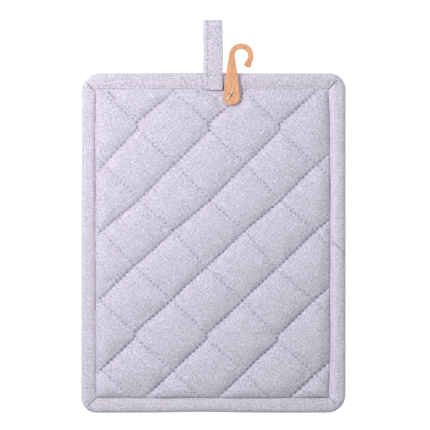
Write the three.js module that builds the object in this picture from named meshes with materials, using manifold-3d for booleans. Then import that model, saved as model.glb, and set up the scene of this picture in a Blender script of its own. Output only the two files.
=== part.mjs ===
// A quilted pot holder: a filled panel quilted in diamonds, bound all round with a folded
// strip, with a folded tape loop at the top and a flat leather hook held by a tack.
// Millimetres, +Z up. It lies on its back on z = 0, its face up and its loop towards +Y.
import * as THREE from "three";
import { mergeVertices } from "three/addons/utils/BufferGeometryUtils.js";
import Module from "manifold-3d";

const wasm = await Module();
wasm.setup();

// ---------------------------------------------------------------- driving dimensions

// Two pieces that lie on each other stay this far apart.
const GAP = 0.3;

// The bound body, without the loop.
const BODY = { left: -100, right: 100, bottom: -148.9, top: 108 };
const CORNER_RADIUS = { topLeft: 14.4, topRight: 12.5, bottomRight: 14, bottomLeft: 11.5 };

// The binding: a strip folded over the edge.
const BINDING = {
  thickness: 6.8, // over both leaves, at the roll's highest line
  leaf: 1.0, // one leaf, with its turned-in hem
  roll: 3.4, // from the outer edge to the highest line
  fall: 0.6, // how much lower the stitched inner edge is
  foldDepth: 1.6, // cloth at the outer fold
  foldSide: { across: 0.75, up: 0.65 }, // parts of the cavity, beside the fold
  innerRadius: 0.8,
  mitreDip: 0.5,
};
// Its width seen from the front, at even steps along a side, from left to right or from
// bottom to top.
const BINDING_WIDTH = {
  top: [11.7, 11.6, 11.9, 11.9, 11.7, 11.6, 11.7],
  bottom: [11.0, 11.1, 10.7, 10.5, 10.9, 11.2, 11.2],
  left: [11.0, 11.2, 11.1, 10.5, 10.3, 9.9, 10.8],
  right: [13.2, 11.7, 11.7, 11.6, 11.5, 11.9, 13.3],
};
const MEAN_WIDTH = 11.4;
// Slow waves of the outer edge: where along the side, over what reach, and how far outwards.
const WAVES = {
  top: { at: -8, reach: 30, by: 0.4 },
  bottom: { at: -9, reach: 25, by: -0.6 },
  left: { at: 100, reach: 60, by: -0.5 },
  right: { at: 0, reach: 60, by: 0 },
};

// The quilting: lines run corner to corner through a lattice of columns and rows. They cross
// where column and row add up to an even number. A row's tilt is its rise from one column to
// the next, and its lean is how far to the right of their own x the columns are on it.
const COLUMNS = [-111, -84.4, -58, -30, -3.9, 23.6, 49.4, 77.2, 105];
const FIRST_COLUMN = -1;
const ROWS = [
  { y: 120.5, tilt: 0, lean: 0 },
  { y: 93.9, tilt: 0, lean: 0 },
  { y: 67.5, tilt: -0.3, lean: 0.9 },
  { y: 39, tilt: 0, lean: 1.1 },
  { y: 12, tilt: 0, lean: 1.6 },
  { y: -11.5, tilt: 0, lean: -0.2 },
  { y: -39, tilt: -0.45, lean: -1.7 },
  { y: -63.7, tilt: -0.1, lean: -1.5 },
  { y: -91.5, tilt: -0.6, lean: -1.1 },
  { y: -117.8, tilt: -0.6, lean: -0.4 },
  { y: -144, tilt: -0.85, lean: 0 },
  { y: -171, tilt: -0.85, lean: 0 },
];
const FIRST_ROW = -1;
const TILT_COLUMN = 3; // the column on which a tilted row keeps its y
const QUILT = {
  crown: 9.9, // highest point of a diamond's front
  crownSlope: 0.0035, // how much higher the crowns get, per mm, towards the lower right
  channel: 5.7, // sewn line, front
  backChannel: 2.0, // sewn line, back
  backSwell: 1.5, // how far the back would bulge past the surface it is pressed flat on
  fullness: 0.5, // below 1 the diamonds are fuller towards their sewn lines
  fallingDepth: 0.42, // of a line that falls to the right, as a part of a rising line's depth
  edgeFront: 4.9, // front of the panel where it goes under the binding
  edgeBack: 1.9, // back of the panel there
  edgeBackPressed: 3.7, // and where the tape's back leg presses the binding up
  edgeRise: 10, // over which the panel rises from the binding to full height
  hiddenClear: 3, // from the outer fold of the binding to the panel's cut edge
};
const STEPS = 4; // of the mesh, from one column or row to the next

// The hanging loop: one tape, folded in half over the top edge.
const LOOP = {
  middle: -0.4,
  width: 14.6,
  topWidth: 14.0,
  thickness: 1.5,
  top: 148.9,
  backEnd: 98,
  foldRadius: 3.1, // to the middle of the tape
  fullWidthAt: 126, // below this the tape has its full width
  backBends: [122, 134], // Y of points on the back leg, flat on the surface
  landing: 1.5, // from the body's top to where the front leg meets the binding
  seat: 0.4, // from the binding's highest line to the front leg
  // The front leg's Y and how much lower it lies there, down to its end.
  frontBends: [{ y: 101, drop: 0.15 }, { y: 97.6, drop: 0.35 }, { y: 95.2, drop: 0.6 }],
  selvedge: { corner: 0.6, side: 0.3 }, // of the rounded edges, parts of the half thickness
};
// Where the back leg lies under the binding, the binding's back is pressed up off the floor.
const PRESS_UP = { to: 1.95, halfWidth: 9, panelHalfWidth: 12, slope: 14 };

// The leather hook, in its own x and y: from the middle of its round base, towards its crook.
const HOOK = {
  base: { x: 13.7, y: 90.2 },
  baseRadius: 6.4,
  thickness: 2.2,
  lowest: 7.5,
  crook: { x: 7.3, y: 31, inner: 5.2, outer: 9.2 },
  crookEnd: -24, // degrees, where the crook straightens
  tip: 4.5, // straight length past the crook
  tipRadius: 1.6,
  hole: { x: -0.8, y: 1.1, radius: 1.2 },
};
const TACK = { bar: 8.2, barRadius: 0.5, stemRadius: 0.55, lean: 59.5, aside: -0.4 };
// The panel is held down under the hook's base and under the front end of the tape.
const HOOK_PRESS = { height: 6.8, reach: 10.5, slope: 0.55 };
const TAPE_PRESS = { height: 5.8, reach: 9.5, y: 93.6, slope: 0.7 };

const COLOUR = { cloth: 0xcbc6d7, binding: 0xd0cbda, loop: 0xd5d1e1, leather: 0xe7ae89, tack: 0xf2e6dd };

// ---------------------------------------------------------------- small helpers

const MID = BINDING.thickness / 2;
const DEGREE = Math.PI / 180;
const clamp = (value, low, high) => Math.min(Math.max(value, low), high);
const smooth = (t) => t * t * (3 - 2 * t);
const mix = (a, b, t) => a + (b - a) * t;

// The value at t, from 0 to 1, of a list of values at even steps.
function along(list, t) {
  const at = clamp(t, 0, 1) * (list.length - 1);
  const k = Math.min(Math.floor(at), list.length - 2);
  return mix(list[k], list[k + 1], smooth(at - k));
}

// A closed solid's geometry from points and triangles.
function solidGeometry(points, triangles) {
  const geometry = new THREE.BufferGeometry();
  geometry.setAttribute("position", new THREE.Float32BufferAttribute(points.flat(), 3));
  geometry.setIndex(triangles.flat());
  return geometry;
}

// Triangles of a closed tube of sections: section s has count points, and its point k is
// number s * count + k. An open tube is capped with fans.
function tubeTriangles(sections, count, closed) {
  const triangles = [];
  const last = closed ? sections : sections - 1;
  for (let s = 0; s < last; s++) {
    const a = s * count;
    const b = ((s + 1) % sections) * count;
    for (let k = 0; k < count; k++) {
      const next = (k + 1) % count;
      triangles.push([a + k, b + k, b + next], [a + k, b + next, a + next]);
    }
  }
  if (!closed) {
    const end = (sections - 1) * count;
    for (let k = 1; k < count - 1; k++) {
      triangles.push([0, k, k + 1], [end, end + k + 1, end + k]);
    }
  }
  return triangles;
}

function namedMesh(name, geometry, colour, roughness) {
  geometry.computeVertexNormals();
  const material = new THREE.MeshStandardMaterial({ color: colour, roughness, metalness: 0 });
  const mesh = new THREE.Mesh(geometry, material);
  mesh.name = name;
  return mesh;
}

// ---------------------------------------------------------------- the body's outline

const wave = (side, position) => {
  const { at, reach, by } = WAVES[side];
  return by * Math.exp(-(((position - at) / reach) ** 2));
};
const partX = (x) => (x - BODY.left) / (BODY.right - BODY.left);
const partY = (y) => (y - BODY.bottom) / (BODY.top - BODY.bottom);

// The outer edge of each side, and the binding's inner edge on it.
const outer = {
  left: (y) => BODY.left - wave("left", y),
  right: (y) => BODY.right + wave("right", y),
  bottom: (x) => BODY.bottom - wave("bottom", x),
  top: (x) => BODY.top + wave("top", x),
};
const inner = {
  left: (y) => outer.left(y) + along(BINDING_WIDTH.left, partY(y)),
  right: (y) => outer.right(y) - along(BINDING_WIDTH.right, partY(y)),
  bottom: (x) => outer.bottom(x) + along(BINDING_WIDTH.bottom, partX(x)),
  top: (x) => outer.top(x) - along(BINDING_WIDTH.top, partX(x)),
};

// The four corners, anticlockwise from the lower left: which sides meet, which way is out.
const CORNERS = [
  { x: "left", y: "bottom", outX: -1, outY: -1, radius: CORNER_RADIUS.bottomLeft },
  { x: "right", y: "bottom", outX: 1, outY: -1, radius: CORNER_RADIUS.bottomRight },
  { x: "right", y: "top", outX: 1, outY: 1, radius: CORNER_RADIUS.topRight },
  { x: "left", y: "top", outX: -1, outY: 1, radius: CORNER_RADIUS.topLeft },
];

// Where the inner edges of two sides meet.
function innerCorner(corner) {
  let point = { x: BODY[corner.x], y: BODY[corner.y] };
  for (let k = 0; k < 3; k++) {
    point = { x: inner[corner.x](point.y), y: inner[corner.y](point.x) };
  }
  return point;
}

// Pairs of an inner and an outer point of the binding, anticlockwise round the body, each
// with its mitre: 1 on a corner's diagonal fold, 0 away from it.
function bindingSpokes() {
  const CORNER_STEPS = 8;
  const SIDE_STEPS = { bottom: 12, right: 15, top: 16, left: 15 };
  const spokes = [];
  const order = ["bottom", "right", "top", "left"];
  CORNERS.forEach((corner, c) => {
    const next = CORNERS[(c + 1) % 4];
    const [from, to] = [innerCorner(corner), innerCorner(next)];
    const start = Math.atan2(corner.outY, corner.outX) - Math.PI / 4;
    const centre = {
      x: BODY[corner.x] - corner.outX * corner.radius,
      y: BODY[corner.y] - corner.outY * corner.radius,
    };
    for (let k = 0; k <= CORNER_STEPS; k++) {
      const angle = start + (k / CORNER_STEPS) * (Math.PI / 2);
      const [dx, dy] = [Math.cos(angle), Math.sin(angle)];
      const r = BINDING.innerRadius;
      spokes.push({
        inner: { x: from.x - corner.outX * r + dx * r, y: from.y - corner.outY * r + dy * r },
        outer: { x: centre.x + dx * corner.radius, y: centre.y + dy * corner.radius },
        mitre: k === CORNER_STEPS / 2 ? 1 : 0,
      });
    }
    const side = order[c];
    const [axis, cross] = side === "bottom" || side === "top" ? ["x", "y"] : ["y", "x"];
    const way = Math.sign(to[axis] - from[axis]);
    const r = BINDING.innerRadius;
    for (let k = 1; k < SIDE_STEPS[side]; k++) {
      const t = k / SIDE_STEPS[side];
      const innerAt = mix(from[axis] + way * r, to[axis] - way * r, t);
      const outerFrom = BODY[corner[axis]] + way * corner.radius;
      const outerAt = mix(outerFrom, BODY[next[axis]] - way * next.radius, t);
      spokes.push({
        inner: { [axis]: innerAt, [cross]: inner[side](innerAt) },
        outer: { [axis]: outerAt, [cross]: outer[side](outerAt) },
        mitre: 0,
      });
    }
  });
  return spokes;
}

// ---------------------------------------------------------------- the binding

// How far the body's back is pressed up at (x, y) on the top side: 1 over the tape.
function pressUp(x, y, halfWidth) {
  if (y < BODY.top - 2 * MEAN_WIDTH) return 0;
  const past = Math.max(0, Math.abs(x - LOOP.middle) - halfWidth);
  return 1 - smooth(clamp(past / PRESS_UP.slope, 0, 1));
}

// One section of the strip in (f, z): f is 0 at the inner edge and 1 at the outer edge.
function bindingSection(width, mitre, press) {
  const { thickness, leaf, roll, fall, foldDepth, foldSide, mitreDip } = BINDING;
  const half = thickness / 2;
  const drop = 1 - (press * PRESS_UP.to) / MID;
  const fOf = (u) => 1 - u / width;
  const outerHalf = (u) => half - fall * smooth(clamp((u - roll) / (width - roll), 0, 1));
  const points = [];
  const flats = [1, 0.72, 0.36, 0]; // parts of the way from the roll to the inner edge
  const arcs = [60, 30]; // degrees round the roll
  const dip = mitre * mitreDip;
  const outside = (u, h, up) => points.push([fOf(u), MID + (up ? h - dip : (dip - h) * drop)]);
  flats.forEach((part) => outside(mix(roll, width, part), outerHalf(mix(roll, width, part)), true));
  arcs.forEach((a) => outside(roll - roll * Math.cos(a * DEGREE), half * Math.sin(a * DEGREE), true));
  points.push([fOf(0), MID]);
  [...arcs].reverse().forEach((a) =>
    outside(roll - roll * Math.cos(a * DEGREE), half * Math.sin(a * DEGREE), false),
  );
  [...flats].reverse().forEach((part) =>
    outside(mix(roll, width, part), outerHalf(mix(roll, width, part)), false),
  );
  const insideFlats = [1, 0.5, 0];
  const cavity = roll - foldDepth;
  const inside = (u, h, up) => points.push([fOf(u), MID + (up ? h : -h * drop)]);
  const innerHalf = (u, up) => (up ? outerHalf(u) - leaf : outerHalf(u) - leaf / drop);
  insideFlats.forEach((part) => {
    const u = mix(roll, width, part);
    inside(u, innerHalf(u, false), false);
  });
  inside(roll - cavity * foldSide.across, innerHalf(roll, false) * foldSide.up, false);
  inside(roll - cavity, 0, true);
  inside(roll - cavity * foldSide.across, innerHalf(roll, true) * foldSide.up, true);
  [...insideFlats].reverse().forEach((part) => {
    const u = mix(roll, width, part);
    inside(u, innerHalf(u, true), true);
  });
  return points.reverse();
}

function bindingGeometry() {
  const spokes = bindingSpokes();
  const points = [];
  let count = 0;
  for (const spoke of spokes) {
    const width = Math.hypot(spoke.outer.x - spoke.inner.x, spoke.outer.y - spoke.inner.y);
    const press = pressUp(spoke.outer.x, spoke.outer.y, PRESS_UP.halfWidth);
    const section = bindingSection(width, spoke.mitre, press);
    count = section.length;
    for (const [f, z] of section) {
      points.push([mix(spoke.inner.x, spoke.outer.x, f), mix(spoke.inner.y, spoke.outer.y, f), z]);
    }
  }
  return solidGeometry(points, tubeTriangles(spokes.length, count, true));
}

// ---------------------------------------------------------------- the quilted panel

// How far the columns have leant to the right at y.
function leanAt(y) {
  let k = 0;
  while (k < ROWS.length - 2 && ROWS[k + 1].y > y) k++;
  const t = clamp((ROWS[k].y - y) / (ROWS[k].y - ROWS[k + 1].y), 0, 1);
  return mix(ROWS[k].lean, ROWS[k + 1].lean, t);
}
const plainX = (i) => {
  const at = clamp(i - FIRST_COLUMN, 0, COLUMNS.length - 1.001);
  return mix(COLUMNS[Math.floor(at)], COLUMNS[Math.floor(at) + 1], at % 1);
};
const columnX = (i, y) => plainX(i) + leanAt(y);
const rowY = (j, i) => {
  const at = clamp(j - FIRST_ROW, 0, ROWS.length - 1.001);
  const [a, b] = [ROWS[Math.floor(at)], ROWS[Math.floor(at) + 1]];
  return mix(a.y, b.y, at % 1) + mix(a.tilt, b.tilt, at % 1) * (i - TILT_COLUMN);
};

// The column number at (x, y), and the row number at y on column i.
function columnAt(x, y) {
  const plain = x - leanAt(y);
  let k = 0;
  while (k < COLUMNS.length - 2 && COLUMNS[k + 1] < plain) k++;
  return FIRST_COLUMN + k + (plain - COLUMNS[k]) / (COLUMNS[k + 1] - COLUMNS[k]);
}
function rowAt(y, i) {
  const yOf = (k) => ROWS[k].y + ROWS[k].tilt * (i - TILT_COLUMN);
  let k = 0;
  while (k < ROWS.length - 2 && yOf(k + 1) > y) k++;
  return FIRST_ROW + k + (yOf(k) - y) / (yOf(k) - yOf(k + 1));
}

// From 0 on a rising sewn line to 1 in the middle of a diamond.
function puff(x, y) {
  const i = columnAt(x, y);
  const j = rowAt(y, i);
  const rising = Math.abs(Math.sin((Math.PI * (i + j)) / 2)) ** QUILT.fullness;
  const falling = Math.abs(Math.sin((Math.PI * (i - j)) / 2)) ** QUILT.fullness;
  return rising * mix(1, falling, QUILT.fallingDepth);
}

// How far the panel has risen from the binding, 0 to 1, at a distance inside its inner edge.
function rise(inside) {
  const t = clamp((inside - GAP) / QUILT.edgeRise, 0, 1);
  return Math.sqrt(1 - (1 - t) ** 2);
}

function insideDistance(x, y) {
  return Math.min(
    x - inner.left(y),
    inner.right(y) - x,
    y - inner.bottom(x),
    inner.top(x) - y,
  );
}

function frontHeight(x, y) {
  const lift = rise(Math.max(insideDistance(x, y), 0));
  const crown = QUILT.crown + QUILT.crownSlope * (x - y);
  const quilted = mix(QUILT.channel, crown, puff(x, y));
  const free = mix(QUILT.edgeFront, quilted, lift);
  const fromHook = Math.hypot(x - HOOK.base.x, y - HOOK.base.y);
  const underHook = HOOK_PRESS.height + HOOK_PRESS.slope * Math.max(0, fromHook - HOOK_PRESS.reach);
  const fromTape = Math.hypot(
    Math.max(0, Math.abs(x - LOOP.middle) - TAPE_PRESS.reach),
    Math.max(0, TAPE_PRESS.y - y),
  );
  return Math.min(free, underHook, TAPE_PRESS.height + TAPE_PRESS.slope * fromTape);
}

// The panel's back where it goes under the binding, higher over the tape's back leg.
const hiddenBack = (x, y) =>
  mix(QUILT.edgeBack, QUILT.edgeBackPressed, pressUp(x, y, PRESS_UP.panelHalfWidth));

function backHeight(x, y) {
  const lift = rise(Math.max(insideDistance(x, y), 0));
  const quilted = QUILT.backChannel - (QUILT.backChannel + QUILT.backSwell) * puff(x, y);
  return Math.max(0, mix(hiddenBack(x, y), quilted, lift));
}

// The mesh lines across one direction. A hidden line has hide, its part of the way from the
// binding's inner edge to the panel's cut edge. A line just inside has inset, in mm from that
// inner edge. The others lie on the lattice, at a column or row number.
function meshLines(low, high, lattice) {
  const hidden = [1, 0.8, 0.4, 0];
  const insets = [GAP, 1.3];
  return [
    ...hidden.map((hide) => ({ side: low, hide })),
    ...insets.map((inset) => ({ side: low, inset })),
    ...lattice.map((at) => ({ at })),
    ...insets.toReversed().map((inset) => ({ side: high, inset })),
    ...hidden.toReversed().map((hide) => ({ side: high, hide })),
  ];
}

// Lattice numbers, STEPS to a column or row, whose positions lie between low and high.
function latticeSteps(position, low, high, count) {
  const found = [];
  for (let k = -STEPS; k <= count * STEPS; k++) {
    const where = position(k / STEPS);
    if (where > low && where < high) found.push(k / STEPS);
  }
  return found;
}

// How far the panel's cut edge lies from the binding's inner corner, in a direction.
function cornerReach(corner, origin, cos, sin) {
  const clear = QUILT.hiddenClear;
  const radius = corner.radius - clear;
  const centre = {
    x: Math.abs(BODY[corner.x] - origin.x) - corner.radius,
    y: Math.abs(BODY[corner.y] - origin.y) - corner.radius,
  };
  const dot = cos * centre.x + sin * centre.y;
  return dot + Math.sqrt(dot * dot - centre.x ** 2 - centre.y ** 2 + radius ** 2);
}

// The place of a mesh point from its two lines.
function panelPoint(lineX, lineY) {
  const nominal = (line, horizontal) => {
    if (line.at !== undefined) return horizontal ? plainX(line.at) : rowY(line.at, TILT_COLUMN);
    return BODY[line.side] + (line.side === "left" || line.side === "bottom" ? 1 : -1) * MEAN_WIDTH;
  };
  const sign = (side) => (side === "left" || side === "bottom" ? -1 : 1);
  if (lineX.hide > 0 && lineY.hide > 0) {
    const corner = CORNERS.find((c) => c.x === lineX.side && c.y === lineY.side);
    const origin = innerCorner(corner);
    const length = Math.hypot(lineX.hide, lineY.hide);
    const [cos, sin] = [lineX.hide / length, lineY.hide / length];
    const r = Math.max(lineX.hide, lineY.hide) * cornerReach(corner, origin, cos, sin);
    return { x: origin.x + corner.outX * cos * r, y: origin.y + corner.outY * sin * r };
  }
  const place = (line, horizontal, at) => {
    if (line.at !== undefined) {
      return horizontal ? columnX(line.at, at.y) : rowY(line.at, columnAt(at.x, at.y));
    }
    const other = horizontal ? at.y : at.x;
    const edge = inner[line.side](other);
    if (line.inset !== undefined) return edge - sign(line.side) * line.inset;
    const reach = Math.abs(outer[line.side](other) - edge) - QUILT.hiddenClear;
    return edge + sign(line.side) * line.hide * reach;
  };
  let x = nominal(lineX, true);
  let y = nominal(lineY, false);
  for (let k = 0; k < 3; k++) {
    x = place(lineX, true, { x, y });
    y = place(lineY, false, { x, y });
  }
  return { x, y };
}

function panelGeometry() {
  // From the binding's inner edge to the first lattice line, wider where the columns lean.
  const CLEAR = { x: 4.8, y: 3.4 };
  const linesX = meshLines("left", "right", latticeSteps(
    plainX,
    BODY.left + MEAN_WIDTH + CLEAR.x,
    BODY.right - MEAN_WIDTH - CLEAR.x,
    COLUMNS.length,
  ));
  const linesY = meshLines("top", "bottom", latticeSteps(
    (j) => rowY(j, TILT_COLUMN),
    BODY.bottom + MEAN_WIDTH + CLEAR.y,
    BODY.top - MEAN_WIDTH - CLEAR.y,
    ROWS.length,
  ));
  const [nx, ny] = [linesX.length, linesY.length];
  const points = [];
  for (const front of [true, false]) {
    for (const lineY of linesY) {
      for (const lineX of linesX) {
        const { x, y } = panelPoint(lineX, lineY);
        const hidden = lineX.hide > 0 || lineY.hide > 0;
        if (front) points.push([x, y, hidden ? QUILT.edgeFront : frontHeight(x, y)]);
        else points.push([x, y, hidden ? hiddenBack(x, y) : backHeight(x, y)]);
      }
    }
  }
  const at = (front, ky, kx) => (front ? 0 : nx * ny) + ky * nx + kx;
  const triangles = [];
  const quad = (a, b, c, d, diagonalAC) => {
    if (diagonalAC) triangles.push([a, b, c], [a, c, d]);
    else triangles.push([a, b, d], [b, c, d]);
  };
  for (let ky = 0; ky < ny - 1; ky++) {
    for (let kx = 0; kx < nx - 1; kx++) {
      const corners = [[ky, kx], [ky + 1, kx], [ky + 1, kx + 1], [ky, kx + 1]];
      const middle = corners.map(([a, b]) => points[at(true, a, b)]);
      const x = middle.reduce((sum, p) => sum + p[0], 0) / 4;
      const y = middle.reduce((sum, p) => sum + p[1], 0) / 4;
      const i = columnAt(x, y);
      const falls = (Math.floor(i) + Math.floor(rowAt(y, i))) % 2 === 0;
      const front = corners.map(([a, b]) => at(true, a, b));
      const back = corners.map(([a, b]) => at(false, a, b));
      quad(front[0], front[1], front[2], front[3], falls);
      quad(back[3], back[2], back[1], back[0], !falls);
    }
  }
  const rim = [];
  for (let kx = 0; kx < nx - 1; kx++) rim.push([0, kx]);
  for (let ky = 0; ky < ny - 1; ky++) rim.push([ky, nx - 1]);
  for (let kx = nx - 1; kx > 0; kx--) rim.push([ny - 1, kx]);
  for (let ky = ny - 1; ky > 0; ky--) rim.push([ky, 0]);
  rim.forEach(([ky, kx], k) => {
    const [nextY, nextX] = rim[(k + 1) % rim.length];
    quad(at(true, ky, kx), at(true, nextY, nextX), at(false, nextY, nextX), at(false, ky, kx), true);
  });
  return solidGeometry(points, triangles);
}

// ---------------------------------------------------------------- the hanging loop

// The middle line of the tape in (y, z) with the normal that points out of the fold.
function loopPath() {
  const t = LOOP.thickness / 2;
  const backZ = t;
  const onBinding = BINDING.thickness + LOOP.seat + t;
  const FOLD_STEPS = 7; // odd, so that a flat facet lies at the very top
  const foldY = LOOP.top - (t + LOOP.foldRadius) * Math.cos((90 / FOLD_STEPS) * DEGREE);
  const foldZ = backZ + LOOP.foldRadius;
  const path = [];
  for (const y of [LOOP.backEnd, BODY.top, ...LOOP.backBends]) path.push([y, backZ]);
  for (let k = 0; k <= FOLD_STEPS; k++) {
    const angle = (-90 + (k / FOLD_STEPS) * 180) * DEGREE;
    path.push([foldY + LOOP.foldRadius * Math.cos(angle), foldZ + LOOP.foldRadius * Math.sin(angle)]);
  }
  const SLOPE_STEPS = 6;
  const landing = BODY.top + LOOP.landing;
  for (let k = 1; k <= SLOPE_STEPS; k++) {
    const part = k / SLOPE_STEPS;
    const y = mix(foldY, landing, part);
    path.push([y, mix(foldZ + LOOP.foldRadius, onBinding, smooth(part))]);
  }
  path.push([BODY.top - BINDING.roll, onBinding]);
  for (const { y, drop } of LOOP.frontBends) path.push([y, onBinding - drop]);
  return path;
}

function loopGeometry() {
  const path = loopPath();
  const half = LOOP.thickness / 2;
  const points = [];
  path.forEach(([y, z], k) => {
    const [before, after] = [path[Math.max(k - 1, 0)], path[Math.min(k + 1, path.length - 1)]];
    const length = Math.hypot(after[0] - before[0], after[1] - before[1]);
    const out = [(after[1] - before[1]) / length, -(after[0] - before[0]) / length];
    const taper = clamp((y - LOOP.fullWidthAt) / (LOOP.top - LOOP.fullWidthAt), 0, 1);
    const wide = mix(LOOP.width, LOOP.topWidth, taper) / 2;
    // The section: flat faces and rounded selvedges.
    const [flat, side] = [wide - half * LOOP.selvedge.corner, half * LOOP.selvedge.side];
    const section = [
      [-flat, half],
      [flat, half],
      [wide, side],
      [wide, -side],
      [flat, -half],
      [-flat, -half],
      [-wide, -side],
      [-wide, side],
    ];
    for (const [across, off] of section) {
      points.push([LOOP.middle + across, y + out[0] * off, z + out[1] * off]);
    }
  });
  return solidGeometry(points, tubeTriangles(path.length, 8, false));
}

// ---------------------------------------------------------------- the leather hook

// Points on an arc, from one angle to another in degrees, both ends included.
function arcPoints(x, y, radius, from, to, steps) {
  const points = [];
  for (let k = 0; k <= steps; k++) {
    const angle = mix(from, to, k / steps) * DEGREE;
    points.push(new THREE.Vector2(x + radius * Math.cos(angle), y + radius * Math.sin(angle)));
  }
  return points;
}

function hookShape() {
  const { baseRadius, crook, crookEnd, tip, tipRadius, hole } = HOOK;
  const forward = new THREE.Vector2(Math.sin(crookEnd * DEGREE), -Math.cos(crookEnd * DEGREE));
  // The inside of the crook, with one facet square to the hook's length at its top.
  const inside = [
    ...arcPoints(crook.x, crook.y, crook.inner, 180, 0, 13),
    ...arcPoints(crook.x, crook.y, crook.inner, 0, crookEnd, 2).slice(1),
  ];
  const outside = arcPoints(crook.x, crook.y, crook.outer, crookEnd, 180, 18);
  // The end runs straight on and is rounded at its two corners.
  const innerSide = inside.at(-1).clone().addScaledVector(forward, tip);
  const outerSide = outside[0].clone().addScaledVector(forward, tip);
  const across = outerSide.clone().sub(innerSide).normalize();
  const roundCorner = (side, way) => {
    const centre = side.clone().addScaledVector(way, tipRadius);
    const start = Math.atan2(-way.y, -way.x) / DEGREE;
    const turned = way === across ? 90 : -90;
    const arc = arcPoints(centre.x, centre.y, tipRadius, start, start + turned, 4);
    return way === across ? arc : arc.toReversed();
  };
  const points = [
    ...inside,
    ...roundCorner(innerSide, across),
    ...roundCorner(outerSide, across.clone().negate()),
    ...outside,
    ...arcPoints(0, 0, baseRadius, 180, 360, 18),
  ];
  const shape = new THREE.Shape(points);
  const punched = arcPoints(hole.x, hole.y, hole.radius, 360, 0, 16).slice(1);
  shape.holes.push(new THREE.Path(punched));
  return shape;
}

function hookGeometry() {
  const geometry = new THREE.ExtrudeGeometry(hookShape(), {
    depth: HOOK.thickness,
    bevelEnabled: false,
  });
  return geometry.translate(HOOK.base.x, HOOK.base.y, HOOK.lowest);
}

// ---------------------------------------------------------------- the tack

function toSolid(geometry) {
  const bare = geometry.clone();
  bare.deleteAttribute("normal");
  bare.deleteAttribute("uv");
  const merged = mergeVertices(bare, 1e-4);
  return new wasm.Manifold(new wasm.Mesh({
    numProp: 3,
    vertProperties: new Float32Array(merged.attributes.position.array),
    triVerts: new Uint32Array(merged.index.array),
  }));
}

function tackGeometry() {
  const SIDES = 10;
  const CAP_STEPS = 3;
  const hookTop = HOOK.lowest + HOOK.thickness;
  const barZ = hookTop + GAP + TACK.barRadius;
  const x = HOOK.base.x + HOOK.hole.x;
  const y = HOOK.base.y + HOOK.hole.y;
  const straight = TACK.bar - 2 * TACK.barRadius;
  const bar = new THREE.CapsuleGeometry(TACK.barRadius, straight, CAP_STEPS, SIDES);
  bar.rotateZ((TACK.lean - 90) * DEGREE).translate(x + TACK.aside, y, barZ);
  const foot = HOOK_PRESS.height + GAP;
  const stem = new THREE.CylinderGeometry(TACK.stemRadius, TACK.stemRadius, barZ - foot, SIDES);
  stem.rotateX(90 * DEGREE).translate(x, y, (barZ + foot) / 2);
  const joined = toSolid(bar).add(toSolid(stem)).getMesh();
  const geometry = new THREE.BufferGeometry();
  geometry.setAttribute("position", new THREE.BufferAttribute(joined.vertProperties, 3));
  geometry.setIndex(new THREE.BufferAttribute(joined.triVerts, 1));
  return geometry;
}

// ---------------------------------------------------------------- the pot holder

const potHolder = new THREE.Group();
potHolder.add(
  namedMesh("quilted_panel", panelGeometry(), COLOUR.cloth, 0.95),
  namedMesh("binding", bindingGeometry(), COLOUR.binding, 0.95),
  namedMesh("hanging_loop", loopGeometry(), COLOUR.loop, 0.95),
  namedMesh("leather_hook", hookGeometry(), COLOUR.leather, 0.6),
  namedMesh("hook_tack", tackGeometry(), COLOUR.tack, 0.5),
);

export default potHolder;
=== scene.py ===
"""A quilted pot holder with its binding, tape loop and leather hook, dressed for rendering.

Sizes are in millimetres and become metres where a mesh is made. The pot holder lies on its
back on z = 0, its face up and its loop towards +Y.
"""

import logging
import math
from collections.abc import Iterator, Sequence
from dataclasses import dataclass, field
from enum import Enum

import bpy
import numpy as np
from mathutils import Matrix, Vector
from mathutils.geometry import tessellate_polygon


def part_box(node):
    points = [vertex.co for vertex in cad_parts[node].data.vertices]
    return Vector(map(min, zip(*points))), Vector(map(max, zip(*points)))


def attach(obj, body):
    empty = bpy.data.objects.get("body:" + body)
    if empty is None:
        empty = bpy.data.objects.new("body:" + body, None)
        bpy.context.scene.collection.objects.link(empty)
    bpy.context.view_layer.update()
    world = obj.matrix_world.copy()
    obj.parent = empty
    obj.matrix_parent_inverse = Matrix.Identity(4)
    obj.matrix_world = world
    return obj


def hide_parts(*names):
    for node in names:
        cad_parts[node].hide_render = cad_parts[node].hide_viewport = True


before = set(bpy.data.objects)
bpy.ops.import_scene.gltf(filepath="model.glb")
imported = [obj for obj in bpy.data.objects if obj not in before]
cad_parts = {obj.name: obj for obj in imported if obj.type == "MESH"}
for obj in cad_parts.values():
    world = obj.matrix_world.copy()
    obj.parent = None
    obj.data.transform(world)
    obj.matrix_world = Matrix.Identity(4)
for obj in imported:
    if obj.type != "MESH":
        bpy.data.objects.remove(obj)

MM = 0.001
GAP = 0.3
BINDING_THICKNESS = 6.8
Array = np.ndarray
Colour = tuple[float, float, float]
log = logging.getLogger("pot_holder")


# ---- small helpers


def smooth(t: Array | float) -> Array:
    """Ease from 0 to 1, flat at both ends.

    Args:
        t: Part of the way, clipped to 0 to 1.

    Returns:
        The eased part.
    """
    t = np.clip(t, 0.0, 1.0)
    return t * t * (3.0 - 2.0 * t)


def mix(a: Array | float, b: Array | float, t: Array | float) -> Array:
    """Go from a to b by the part t.

    Args:
        a: Value at 0.
        b: Value at 1.
        t: Part of the way.

    Returns:
        The value between them.
    """
    return a + (b - a) * t


def bell(distance: Array | float, reach: float) -> Array:
    """Give a soft hump, 1 at no distance.

    Args:
        distance: Distance from the middle.
        reach: Distance at which the hump is down to about a third.

    Returns:
        The hump's height.
    """
    return np.exp(-((np.asarray(distance) / reach) ** 2))


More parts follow.
